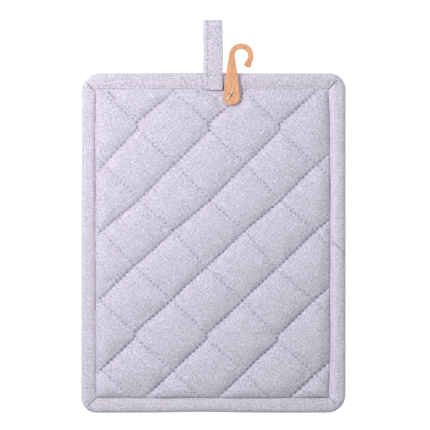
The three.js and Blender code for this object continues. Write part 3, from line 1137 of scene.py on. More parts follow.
@dataclass
class Binding:
    """The strip folded over the panel's edge, with its mitred corners and its join seam."""

    body: Body
    thickness: float = BINDING_THICKNESS
    leaf: float = 1.0
    roll: float = 3.4
    fall: float = 0.6
    right_fall: float = 0.9
    bottom_fall: float = 0.6
    fall_power: float = 1.8
    side_from: float = 12.0
    side_ease: float = 6.0
    left_fall: float = 0.8
    left_fall_reach: float = 2.6
    # Painted shade on the strip's inner edge along the left side.
    left_painted_shade: float = 0.75
    left_painted_shade_reach: float = 1.3
    left_ends: tuple[float, float] = (-136.0, 94.0)
    left_full_at: float = 55.0
    left_least_at: float = -75.0
    left_least: float = 0.8
    left_within: float = 14.0
    # Painted light: the strip's colour is made paler beside the panel on the right and at the bottom.
    pale: float = 0.9
    painted_light_reach: float = 9.0
    painted_light_from: float = 15.0
    painted_light_top: float = 108.0
    painted_light_bottom: float = 0.4
    fold_depth: float = 1.6
    inner_radius: float = 0.8
    press_to: float = 1.95
    press: TapePress = TapePress(9.0, 22.8)
    step: float = 1.1
    corner_steps: int = 44
    edge_round: float = 0.5
    stitch_in: float = 1.7
    stitch_dip: float = 0.22
    stitch_pitch: float = 3.5
    stitch_clear: float = 13.0
    lap: float = 0.22
    seam_y: tuple[float, float] = (-20.5, -28.4)
    # Each fold's last number is the painted shade in its crease.
    folds: tuple[Fold, ...] = (
        Fold((-95.1, 100.0), (-89.6, 94.0), 0.55, 0.38, 1.0),
        Fold((93.2, 102.3), (87.5, 96.4), 0.8, 0.42, 1.0),
        Fold((88.3, 102.9), (87.0, 98.3), 0.45, 0.42, 0.7),
        Fold((-89.5, -138.3), (-94.6, -143.0), 0.5, 0.36, 0.85),
        Fold((-91.4, -137.4), (-95.8, -141.3), 0.35, 0.36, 0.5),
        Fold((87.6, -137.2), (93.4, -143.0), 0.35, 0.36, 0.55),
        Fold((90.8, -20.3), (99.6, -28.4), 0.5, 0.42, 0.95),
    )
    pucker: Unevenness = Unevenness(5.5, 0.16, 31)
    bumps: Unevenness = Unevenness(2.3, 0.05, 32)

    def corner_spokes(self, corner: Corner) -> list[tuple[float, ...]]:
        """Fan out the spokes of one corner, closest together on its diagonal.

        Args:
            corner: The corner.

        Returns:
            X and Y of each spoke's inner and outer end.
        """
        at_x, at_y = self.body.inner_corner(corner)
        out_x, out_y = corner.upright.sign, corner.level.sign
        centre_x = self.body.base(corner.upright) - out_x * corner.radius
        centre_y = self.body.base(corner.level) - out_y * corner.radius
        start = math.atan2(out_y, out_x) - math.pi / 4
        spokes = []
        for k in range(self.corner_steps + 1):
            t = 2.0 * k / self.corner_steps - 1.0
            angle = start + math.pi / 4 * (1.0 + 0.55 * t + 0.45 * t**3)
            dx, dy = math.cos(angle), math.sin(angle)
            r = self.inner_radius
            spokes.append((
                at_x + (dx - out_x) * r, at_y + (dy - out_y) * r,
                centre_x + dx * corner.radius, centre_y + dy * corner.radius,
            ))
        return spokes

    def side_spokes(self, corner: Corner, after: Corner, side: Side) -> list[tuple[float, ...]]:
        """Set the spokes of the side from one corner to the next, closer at the join seam.

        Args:
            corner: The corner the side starts at.
            after: The corner it ends at.
            side: The side.

        Returns:
            X and Y of each spoke's inner and outer end.
        """
        here, there = self.body.inner_corner(corner), self.body.inner_corner(after)
        axis = 0 if side.level else 1
        way = 1.0 if there[axis] > here[axis] else -1.0
        base = (
            self.body.base(corner.upright if side.level else corner.level),
            self.body.base(after.upright if side.level else after.level),
        )
        length = abs(there[axis] - here[axis])
        parts = np.linspace(0, 1, int(length / self.step) + 1)[1:-1]
        if side is Side.RIGHT:
            low, high = [(y - here[1]) / (there[1] - here[1]) for y in self.seam_y[::-1]]
            fine = np.linspace(low - 0.01, high + 0.01, 40)
            before = parts[parts < fine[0] - 0.002]
            beyond = parts[parts > fine[-1] + 0.002]
            parts = np.concatenate([before, fine, beyond])
        spokes = []
        for t in parts:
            r = self.inner_radius
            inner_at = mix(here[axis] + way * r, there[axis] - way * r, t)
            outer_at = mix(base[0] + way * corner.radius, base[1] - way * after.radius, t)
            inner_edge = float(self.body.inner(side, inner_at))
            outer_edge = float(self.body.outer(side, outer_at))
            if side.level:
                spokes.append((inner_at, inner_edge, outer_at, outer_edge))
            else:
                spokes.append((inner_edge, inner_at, outer_edge, outer_at))
        return spokes

    def spokes(self) -> Array:
        """List inner and outer points round the body, anticlockwise.

        Returns:
            X and Y of each spoke's inner and outer end, a spoke in each row.
        """
        found = []
        corners = self.body.corners
        for k, side in enumerate((Side.BOTTOM, Side.RIGHT, Side.TOP, Side.LEFT)):
            found += self.corner_spokes(corners[k])
            found += self.side_spokes(corners[k], corners[(k + 1) % 4], side)
        return np.array(found)

    def profile(self, width: Array) -> tuple[Array, Array, Array]:
        """Lay out the strip's section at every spoke.

        Args:
            width: The strip's width at each spoke.

        Returns:
            Distance from the outer edge; height as a part of the outer surface's half height;
            and depth under that surface in leaves, each a row for a spoke.
        """
        flat = np.array([0.0, 0.012, 0.035, 0.07, 0.11, 0.15, 0.19, 0.23, 0.28, 0.34, 0.41, 0.5,
                         0.6, 0.7, 0.8, 0.9])
        inside_flat = np.array([0.07, 0.3, 0.6, 1.0])
        across = width[:, None] - self.roll
        outer = width[:, None] - across * flat
        half_turn = np.radians(np.linspace(90, -90, 17))
        turn = np.repeat((self.roll - self.roll * np.cos(half_turn))[None], len(width), axis=0)
        inside = width[:, None] - across * inside_flat
        cavity = self.roll - self.fold_depth
        round_in = np.array([self.roll - 0.75 * cavity, self.fold_depth, self.roll - 0.75 * cavity])
        deep = np.repeat(round_in[None], len(width), axis=0)
        u = np.concatenate([outer, turn, outer[:, ::-1], inside, deep, inside[:, ::-1]], axis=1)
        n = len(flat)
        ups = np.concatenate([
            np.ones(n), np.sin(half_turn), -np.ones(n), -np.ones(4), [-0.65, 0.0, 0.65], np.ones(4),
        ])
        leaves = np.concatenate([np.zeros(2 * n + 17), np.ones(4 + 3 + 4)])
        return u, np.repeat(ups[None], len(width), axis=0), np.repeat(leaves[None], len(width), axis=0)

    def creases(self, x: Array, y: Array, u: Array) -> Array:
        """Sum the depths of the folds, and of the laps beside the mitres and the join seam.

        Args:
            x: Places in X.
            y: Places in Y.
            u: Distance from the outer edge.

        Returns:
            Depths.
        """
        depth = sum(fold.depth * fold.at(x, y) for fold in self.folds)
        for corner in self.body.corners:
            at_x, at_y = self.body.inner_corner(corner)
            along = ((x - at_x) * corner.upright.sign + (y - at_y) * corner.level.sign) / math.sqrt(2)
            off = ((x - at_x) * corner.upright.sign - (y - at_y) * corner.level.sign) / math.sqrt(2)
            near = smooth((along + 1.5) / 2.0) * smooth((u - 0.6) / 3.0)
            depth = depth + self.lap * smooth(0.5 - off / 1.2) * bell(off, 5.0) * near
        return depth

    def on_left(self, x: Array, y: Array) -> Array:
        """Give 1 on the left side's upper half, fading to a part down the side.

        Args:
            x: Places in X.
            y: Places in Y.

        Returns:
            Parts, 0 away from the left side.
        """
        low, high = self.left_ends
        up = smooth((y - self.left_least_at) / (self.left_full_at - self.left_least_at))
        between = smooth((high - y) / 3.0) * smooth((y - low) / 3.0)
        return mix(self.left_least, 1.0, up) * between * (x < self.body.left + self.left_within)

    def painted_light_mask(self, x: Array, y: Array, v: Array) -> Array:
        """Give how much painted light brightens the strip beside the panel, on the right and at the
        bottom.

        Args:
            x: Places in X.
            y: Places in Y.
            v: Distance from the inner edge.

        Returns:
            Parts of the full painted light.
        """
        right, bottom = self.body.lower_right(x, y, self.painted_light_from, 3.0)
        right = right * smooth((self.painted_light_top - y) / 12.0)
        return np.maximum(right, self.painted_light_bottom * bottom) * smooth(1 - v / self.painted_light_reach)

    def falls(self, x: Array, y: Array) -> Array:
        """Give how far the strip's top falls towards the panel, by the side its middle is on.

        Args:
            x: Places of the strip's middle in X.
            y: Its places in Y.

        Returns:
            Falls.
        """
        right, bottom = self.body.lower_right(x, y, self.side_from, self.side_ease)
        return mix(mix(self.fall, self.right_fall, right), self.bottom_fall, bottom)

    def half_height(self, u: Array, width: Array, fall: Array) -> Array:
        """Give the outer surface's height over the strip's middle plane, without its creases."""
        part = np.clip((u - self.roll) / (width - self.roll), 0.0, 1.0)
        return self.thickness / 2 - fall * part**self.fall_power

    def build(self) -> bpy.types.Object:
        """Make the strip as one closed ring.

        Returns:
            The strip.
        """
        spokes = self.spokes()
        inner, outer = spokes[:, :2], spokes[:, 2:]
        width = np.hypot(*(outer - inner).T)
        u, ups, leaves = self.profile(width)
        part = 1 - u / width[:, None]
        x = mix(inner[:, :1], outer[:, :1], part)
        y = mix(inner[:, 1:], outer[:, 1:], part)
        middle = self.thickness / 2
        v = width[:, None] - u
        centre = (inner + outer) / 2
        half = self.half_height(u, width[:, None], self.falls(centre[:, :1], centre[:, 1:]))
        round_off = self.leaf / 2 * (1 - np.sqrt(1 - np.clip(1 - v / self.edge_round, 0, 1) ** 2))
        half = np.where(leaves > 0, half - self.leaf + round_off, half - round_off)
        out = leaves == 0
        arc = np.abs(ups)
        detail = self.stitch_dip * bell(v - self.stitch_in, 0.8)
        detail = detail + self.creases(x, y, u) * smooth(u / 2.0)
        on_left = self.on_left(x, y)
        detail = detail + self.left_fall * smooth(1 - v / self.left_fall_reach) * on_left
        detail = detail - self.pucker.at(x, y) * smooth(u / 3.0) * smooth(v / 1.5)
        detail = detail - self.bumps.at(x, y) * smooth(u / 2.0)
        half = np.where(out, half - np.maximum(detail, -0.3) * arc, half)
        drop = 1 - self.press.at(outer[:, :1], outer[:, 1:], self.body.top) * self.press_to / middle
        under = leaves * (self.leaf - self.leaf * drop)
        z = np.where(ups >= 0, middle + half * ups, middle + (half * drop - under * (arc > 0.9)) * ups)
        z = np.maximum(z, 0.0)
        points = np.stack([x, y, z], axis=-1).reshape(-1, 3)
        made = mesh_object("binding_cloth", points, tube_faces(*u.shape, True))
        outward(made)
        run = lengths(centre)
        across = lengths(np.stack([u[0], z[0]], axis=1))
        add_map(made, "strip", run[:, None], across[None])
        # Painted shade in the folds' creases.
        painted_light_and_shade = sum(fold.painted_shade_at(x, y) for fold in self.folds)
        # Painted light beside the panel on the right and at the bottom, weaker on the folds.
        painted_light_and_shade = painted_light_and_shade - self.pale * self.painted_light_mask(x, y, v) * np.maximum(0.0, 1 - 2.5 * painted_light_and_shade)
        # Painted shade along the left inner edge.
        painted_light_and_shade = painted_light_and_shade + self.left_painted_shade * smooth(1.25 - v / self.left_painted_shade_reach) * on_left
        painted_light_and_shade = painted_light_and_shade * (ups > 0.5) * out
        add_value(made, "painted_light_and_shade", np.minimum(painted_light_and_shade, 1.0).ravel())
        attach(made, "root")
        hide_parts("binding")
        unfolded, length = 2 * float(width.mean()) + self.thickness, float(run[-1])
        log.info("binding: %.1f by %.1f mm flat", unfolded, length)
        return made

    def stitch_rows(self) -> Iterator[Array]:
        """Walk along the stitches of the front's inner edge, side by side.

        Yields:
            Needle holes, with their heights.
        """
        body = self.body
        for side in Side:
            low, high = (body.left, body.right) if side.level else (body.bottom, body.top)
            count = int((high - low - 2 * self.stitch_clear) / self.stitch_pitch)
            at = low + self.stitch_clear + self.stitch_pitch * np.arange(count)
            line = body.inner(side, at) + side.sign * self.stitch_in
            width = body.width(side, at)
            x, y = (at, line) if side.level else (line, at)
            half = self.half_height(width - self.stitch_in, width, self.falls(x, y))
            yield np.stack([x, y, self.thickness / 2 + half - self.stitch_dip + 0.1], axis=1)


# ---- the hanging loop


@dataclass
class HangingLoop:
    """One folded tape: a leg on the binding, a leg under it, and the eye between them."""

    body: Body
    middle: float = -0.4
    width: float = 14.6
    top_width: float = 14.0
    thickness: float = 1.5
    top: float = 148.5
    front_end: float = 95.2
    back_end: float = 98.0
    fold_radius: float = 3.1
    full_width_at: float = 126.0
    clear: float = 0.1
    step: float = 0.7
    stitch_in: float = 3.6
    stitch_aside: float = 1.4
    stitch_dip: float = 0.4
    cut_corner: float = 2.8
    fold_corner: float = 0.9
    row_y: float = 106.6
    row_depth: float = 0.2
    row_ends: tuple[float, float] = (-5.0, 5.5)
    stitch_pitch: float = 3.3
    stitch_clear: float = 2.0
    sways: tuple[tuple[float, float, float], ...] = ((0.18, 9.0, 0.0), (0.12, 4.1, 1.0))
    sway_from: float = 110.0
    end_from: float = 101.0
    pucker: Unevenness = Unevenness(4.2, 0.12, 41)
    bumps: Unevenness = Unevenness(1.9, 0.04, 42)

    def path(self) -> Array:
        """Lay the tape's middle line, from the back end over the fold to the front.

        Returns:
            Y and Z, at even steps.
        """
        t = self.thickness / 2
        on_binding = BINDING_THICKNESS + GAP + t + self.clear
        fold_z = t + self.fold_radius
        fold_y = self.top - t - self.fold_radius
        angles = np.radians(np.linspace(-90, 90, 25))
        turn = np.stack([
            fold_y + self.fold_radius * np.cos(angles), fold_z + self.fold_radius * np.sin(angles),
        ], axis=1)
        back = np.array([[self.back_end, t], [self.body.top, t], [122.0, t], [134.0, t]])
        part = np.linspace(0, 1, 25)[1:]
        slope = np.stack([
            mix(fold_y, self.body.top + 1.5, part),
            mix(fold_z + self.fold_radius, on_binding, smooth(part)),
        ], axis=1)
        front = np.array([
            [self.body.top - 3.4, on_binding], [101.0, on_binding - 0.15],
            [97.6, on_binding - 0.35], [self.front_end, on_binding - 0.6],
        ])
        line = np.concatenate([back, turn, slope, front])
        run = lengths(line)
        at = np.linspace(0, run[-1], int(run[-1] / self.step) + 1)
        return np.stack([np.interp(at, run, line[:, 0]), np.interp(at, run, line[:, 1])], axis=1)

    def section(self) -> Array:
        """Give the tape's section.

        Returns:
            Parts of the half width and of the half thickness.
        """
        across = np.linspace(-1, 1, 33)
        inner = across[1:-1]
        edge = np.array([[1.0, 0.62], [1.0, 0.0], [1.0, -0.62]])
        other = edge * [-1, -1]
        face = np.stack([inner, np.ones_like(inner)], axis=1)
        return np.concatenate([face, edge, face[::-1] * [1, -1], other])

    def build(self) -> bpy.types.Object:
        """Make the tape as one closed form.

        Returns:
            The tape.
        """
        line = self.path()
        ahead = np.gradient(line, axis=0)
        ahead /= np.hypot(*ahead.T)[:, None]
        out = np.stack([ahead[:, 1], -ahead[:, 0]], axis=1)
        section = self.section()
        y, z = line[:, :1], line[:, 1:]
        run = np.arange(len(line)) * self.step
        taper = np.clip((y - self.full_width_at) / (self.top - self.full_width_at), 0, 1)
        wide = mix(self.width, self.top_width, taper) / 2
        sway = sum(by * np.sin(run / over + start)[:, None] for by, over, start in self.sways)
        x = wide * section[None, :, 0]
        front = np.arange(len(line))[:, None] > len(line) * 0.5
        near_end = smooth((self.end_from - y) / 6.0) * front
        cut = np.maximum(0, -x - (self.width / 2 - self.cut_corner)) * 0.75
        x = x + self.fold_corner * smooth((y - self.top + 2.4) / 2.4) * (x < -wide * 0.8)
        side = 1 - 0.35 * np.clip(np.abs(section[None, :, 0]) - 0.8, 0, 0.2) / 0.2
        thick = self.thickness / 2 * section[None, :, 1] * side
        groove = self.stitch_dip * bell(x + self.width / 2 - self.stitch_in, 0.55)
        groove = groove + self.stitch_dip * 0.6 * bell(x - self.width / 2 + self.stitch_aside, 0.6)
        groove = groove + self.row_depth * bell(y - self.row_y, 0.6) * front
        detail = self.pucker.at(x, run[:, None]) + self.bumps.at(x, run[:, None])
        face = np.abs(section[None, :, 1]) > 0.99
        thick = thick - np.where(face, (groove - 0.6 * detail) * np.sign(section[None, :, 1]), 0.0)
        points = np.stack([
            self.middle + x + sway * smooth((y - self.sway_from) / 8.0),
            y + out[:, :1] * thick + cut * near_end,
            np.maximum(z + out[:, 1:] * thick, 0.0),
        ], axis=-1)
        faces = tube_faces(len(line), len(section), False)
        made = mesh_object("loop_tape", points.reshape(-1, 3), faces)
        outward(made)
        across = lengths(np.stack([x[0], thick[0]], axis=1))
        add_map(made, "tape", across[None], run[:, None])
        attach(made, "root")
        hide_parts("hanging_loop")
        length = float(run[-1])
        log.info("tape: %.1f by %.1f mm flat", self.width, length)
        return made

    def stitch_rows(self) -> Iterator[Array]:
        """Walk along the stitches down both edges and across the front leg.

        Yields:
            Needle holes, with their heights.
        """
        line = self.path()
        run = np.arange(len(line)) * self.step
        front = line[:, 0].argmax()
        clear = self.stitch_clear
        at = np.arange(run[front] + clear, run[-1] - clear, self.stitch_pitch)
        y = np.interp(at, run, line[:, 0])
        z = np.interp(at, run, line[:, 1]) + self.thickness / 2 - self.stitch_dip + 0.05
        for across in (self.stitch_in - self.width / 2, self.width / 2 - self.stitch_aside):
            yield np.stack([np.full_like(y, self.middle + across), y, z], axis=1)
        x = self.middle + np.linspace(*self.row_ends, 4)
        level = BINDING_THICKNESS + GAP + self.thickness + self.clear - 0.12
        yield np.stack([x, np.full_like(x, self.row_y), np.full_like(x, level)], axis=1)


# ---- the leather hook


@dataclass(frozen=True)
class Crook:
    """The hook's crook, in the hook's own place: its middle, its two radii and its end.

    The end is an angle in degrees. The tip goes straight on past it, with rounded corners, and
    flares to both sides.
    """

    x: float = 7.3
    y: float = 31.0
    inner: float = 5.0
    outer: float = 9.3
    end: float = -24.0
    tip: float = 4.5
    tip_radius: float = 1.6
    flare: float = 0.6


@dataclass
class LeatherHook:
    """A flat crook cut from leather, with its punched hole and its rounded cut edge."""

    base: tuple[float, float] = (13.7, 90.2)
    base_radius: float = 6.4
    thickness: float = 2.2
    lowest: float = 7.5
    hole: tuple[float, float] = (-0.8, 1.1)
    hole_radius: float = 1.2
    worn: float = 0.42
    bow: float = 0.25
    crook: Crook = Crook()
    bevel: tuple[tuple[float, float], ...] = (
        (0.0, 0.5), (0.06, 0.28), (0.18, 0.11), (0.36, 0.02), (0.6, 0.0),
    )

    @staticmethod
    def arc(x: float, y: float, radius: float, start: float, stop: float, count: int) -> Array:
        """Give points on an arc, from one angle to another in degrees, both ends included."""
        angle = np.radians(np.linspace(start, stop, count + 1))
        return np.stack([x + radius * np.cos(angle), y + radius * np.sin(angle)], axis=1)

    def outline(self) -> Array:
        """Give the hook's outline, anticlockwise, in its own place.

        Returns:
            Points, one a row.
        """
        crook = self.crook
        end = math.radians(crook.end)
        ahead = np.array([math.sin(end), -math.cos(end)])
        inside = self.arc(crook.x, crook.y, crook.inner, 180, crook.end, 40)
        outside = self.arc(crook.x, crook.y, crook.outer, crook.end, 180, 56)
        flare = crook.flare * (outside[0] - inside[-1]) / np.linalg.norm(outside[0] - inside[-1])
        inner_tip = inside[-1] + ahead * crook.tip - flare
        outer_tip = outside[0] + ahead * crook.tip + flare
        across = (outer_tip - inner_tip) / np.linalg.norm(outer_tip - inner_tip)
        rounded = []
        for side, way, turn in ((inner_tip, across, 90), (outer_tip, -across, -90)):
            centre = side + way * crook.tip_radius
            start = math.degrees(math.atan2(-way[1], -way[0]))
            points = self.arc(*centre, crook.tip_radius, start, start + turn, 8)
            rounded.append(points if turn > 0 else points[::-1])
        left = self.straight(outside[-1], np.array([-self.base_radius, 0.0]), self.bow)
        right = self.straight(np.array([self.base_radius, 0.0]), inside[0], self.bow)
        bottom = self.arc(0, 0, self.base_radius, 180, 360, 40)
        return np.concatenate([inside, *rounded, outside, left, bottom, right])

    @staticmethod
    def straight(start: Array, stop: Array, bow: float, count: int = 24) -> Array:
        """Give the points between two ends, bowed out a little, without the ends.

        Args:
            start: The first end.
            stop: The other end.
            bow: How far the middle bows out.
            count: How many points.

        Returns:
            Points, one a row.
        """
        t = np.linspace(0, 1, count + 2)[1:-1, None]
        way = stop - start
        out = np.array([way[1], -way[0]]) / np.linalg.norm(way)
        return mix(start, stop, t) + out * bow * np.sin(np.pi * t)

    @staticmethod
    def inset(loop: Array, by: float) -> Array:
        """Move a closed outline inwards, or a hole's outwards, by its own normals.

        Args:
            loop: Points, one a row.
            by: How far.

        Returns:
            The moved points.
        """
        way = np.roll(loop, -1, axis=0) - np.roll(loop, 1, axis=0)
        way /= np.maximum(np.linalg.norm(way, axis=1, keepdims=True), 1e-9)
        return loop + by * np.stack([-way[:, 1], way[:, 0]], axis=1)

    def build(self) -> bpy.types.Object:
        """Make the hook as one closed form.

        Returns:
            The hook.
        """
        outline = self.outline()
        after_x, after_y = np.roll(outline, -1, axis=0).T
        if np.sum(outline[:, 0] * after_y - outline[:, 1] * after_x) < 0:
            outline = outline[::-1]
        punched = self.arc(*self.hole, self.hole_radius, 0, 360, 28)[:-1][::-1]
        half = self.thickness / 2
        rings = [(by, drop - half) for by, drop in reversed(self.bevel)]
        rings += [(by, half - drop) for by, drop in self.bevel]
        points: list[list[float]] = []
        faces: list[tuple[int, ...]] = []
        edge: list[float] = []
        caps: dict[int, list[list[int]]] = {0: [], len(rings) - 1: []}
        for loop in (outline, punched):
            first = len(points)
            count = len(loop)
            for number, (by, height) in enumerate(rings):
                ring = self.inset(loop, by)
                for px, py in ring:
                    points.append([px, py, height])
                    edge.append(max(0.0, 1 - by / self.worn))
                start = first + number * count
                below = start - count
                if number in caps:
                    caps[number].append(list(range(start, start + count)))
                if number:
                    for k in range(count):
                        after = (k + 1) % count
                        faces.append((below + k, below + after, start + after, start + k))
        for number, loops in caps.items():
            flat = [[Vector((points[n][0], points[n][1], 0.0)) for n in loop] for loop in loops]
            order = [n for loop in loops for n in loop]
            for triangle in tessellate_polygon(flat):
                a, b, c = (order[k] for k in triangle)
                ax, bx, cx = points[a], points[b], points[c]
                turn = (bx[0] - ax[0]) * (cx[1] - ax[1]) - (bx[1] - ax[1]) * (cx[0] - ax[0])
                upward = number > 0
                faces.append((a, b, c) if (turn > 0) == upward else (a, c, b))
        placed = np.array(points) + [self.base[0], self.base[1], self.lowest + half]
        made = mesh_object("leather_crook", placed, faces)
        outward(made)
        add_value(made, "edge", np.array(edge))
        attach(made, "root")
        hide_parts("leather_hook")
        log.info("hook: %d points", len(points))
        return made


@dataclass
class HookTack:
    """The light thread bar over the hook's hole, and its stem down into the panel."""

    hook: LeatherHook
    length: float = 8.0
    lean: float = 59.5
    aside: float = -0.4
    strand_radius: float = 0.26
    strands: int = 2
    twist: float = 4.5
    spread: float = 0.15
    stem_radius: float = 0.4
    foot: float = 7.1
    over: float = 0.12
    bulge: float = 0.42
    flat: float = 0.6
    taper: float = 0.55

    def tube(self, line: Array, radius: float, first: int) -> tuple[Array, list[tuple[int, ...]]]:
        """Make a thin closed tube along a line.

        Args:
            line: Points on the tube's middle.
            radius: Its radius.
            first: Number of its first point.

        Returns:
            Points and faces.
        """
        sides = 8
        ahead = np.gradient(line, axis=0)
        ahead /= np.linalg.norm(ahead, axis=1, keepdims=True)
        side = np.cross(ahead, [0.31, 0.17, 0.93])
        side /= np.linalg.norm(side, axis=1, keepdims=True)
        up = np.cross(side, ahead)
        angle = np.linspace(0, 2 * np.pi, sides, endpoint=False)
        size = radius * np.ones(len(line))
        size[[0, -1]] *= self.taper
        ring = np.cos(angle)[None, :, None] * side[:, None] + np.sin(angle)[None, :, None] * up[:, None]
        points = (line[:, None] + size[:, None, None] * ring).reshape(-1, 3)
        faces = [tuple(n + first for n in face) for face in tube_faces(len(line), sides, False)]
        return points, faces

    def build(self) -> bpy.types.Object:
        """Make the bar's twisted strands and the stem.

        Returns:
            The tack.
        """
        hook = self.hook
        x = hook.base[0] + hook.hole[0]
        y = hook.base[1] + hook.hole[1]
        top = hook.lowest + hook.thickness
        lean = math.radians(self.lean)
        way = np.array([-math.cos(lean), -math.sin(lean), 0.0])
        side = np.array([-way[1], way[0], 0.0])
        t = np.linspace(-1, 1, 30)
        rise = top + self.over + self.strand_radius + self.bulge * (1 - t**4)
        tubes = []
        for k in range(self.strands):
            phase = 2 * math.pi * k / self.strands + self.twist * t
            middle = np.array([x + self.aside, y, 0.0]) + (t * self.length / 2)[:, None] * way
            line = middle + (self.spread * np.cos(phase))[:, None] * side
            line[:, 2] = rise + self.spread * np.sin(phase) * self.flat
            tubes.append((line, self.strand_radius))
        stem = np.stack([np.full(6, x), np.full(6, y), np.linspace(self.foot, top + 0.3, 6)], axis=1)
        tubes.append((stem, self.stem_radius))
        points: list[Array] = []
        faces: list[tuple[int, ...]] = []
        count = 0
        for line, radius in tubes:
            new, more = self.tube(line, radius, count)
            points.append(new)
            faces += more
            count += len(new)
        made = mesh_object("thread_tack", np.concatenate(points), faces)
        outward(made)
        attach(made, "root")
        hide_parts("hook_tack")
        log.info("tack: %d points", count)
        return made


# ---- nodes


class Wiring:
    """Short calls for the nodes of one tree."""

    def __init__(self, tree: bpy.types.NodeTree) -> None:
        """Keep the tree.

        Args:
            tree: A material's tree or a node group.
        """
        self.nodes = tree.nodes
        self.link = tree.links.new

    def fill(self, node: bpy.types.Node, sockets: dict[str | int, object]) -> None:
        """Link outputs to a node's inputs, or set the inputs' own values.

        Args:
            node: The node.
            sockets: An output or a value for each input, by its name or number.
        """
        for name, value in sockets.items():
            if isinstance(value, bpy.types.NodeSocket):
                self.link(value, node.inputs[name])
            else:
                node.inputs[name].default_value = value

    def add(
        self, kind: str, sockets: dict[str | int, object] | None = None, **settings: object,
    ) -> bpy.types.Node:
        """Add a node.

        Args:
            kind: The node's type.
            sockets: An output or a value for each input, by its name or number.
            settings: The node's own settings.

        Returns:
            The node.
        """
        node = self.nodes.new(kind)
        for name, value in settings.items():
            setattr(node, name, value)
        self.fill(node, sockets or {})
        return node

    def maths(self, operation: str, *values: object) -> bpy.types.NodeSocket:
        """Add a math node."""
        return self.add("ShaderNodeMath", dict(enumerate(values)), operation=operation).outputs[0]

    def vector(self, operation: str, *values: object) -> bpy.types.NodeSocket:
        """Add a vector math node with vector inputs."""
        return self.add("ShaderNodeVectorMath", dict(enumerate(values)), operation=operation).outputs[0]

    def scaled(self, vector: object, x: float, y: float, z: float) -> bpy.types.NodeSocket:
        """Multiply a vector by another."""
        return self.vector("MULTIPLY", vector, (x, y, z))

    def place(self) -> bpy.types.NodeSocket:
        """Give places on the object, in millimetres."""
        return self.scaled(self.add("ShaderNodeTexCoord").outputs["Object"], 1000, 1000, 1000)

    def noise(
        self, vector: object, scale: float, detail: float = 2.0, rough: float = 0.5,
    ) -> bpy.types.NodeSocket:
        """Add a noise texture and give its value."""
        sockets = {"Vector": vector, "Scale": scale, "Detail": detail, "Roughness": rough}
        return self.add("ShaderNodeTexNoise", sockets).outputs["Fac"]

    def blend(self, part: object, low: object, high: object) -> bpy.types.NodeSocket:
        """Mix two colours."""
        return self.add("ShaderNodeMix", {0: part, 6: low, 7: high}, data_type="RGBA").outputs[2]

    def span(
        self, value: object, low: float, high: float, to_low: float, to_high: float,
    ) -> bpy.types.NodeSocket:
        """Map a value from one range to another."""
        given = enumerate((value, low, high, to_low, to_high))
        return self.add("ShaderNodeMapRange", dict(given)).outputs[0]

    def bump(
        self, shader: bpy.types.Node, strength: float, depth: float, height: bpy.types.NodeSocket,
    ) -> None:
        """Bump a shader's surface, by a height and its depth in millimetres."""
        sockets = {"Strength": strength, "Distance": depth * MM, "Height": height}
        self.fill(shader, {"Normal": self.add("ShaderNodeBump", sockets).outputs[0]})


# ---- stitches


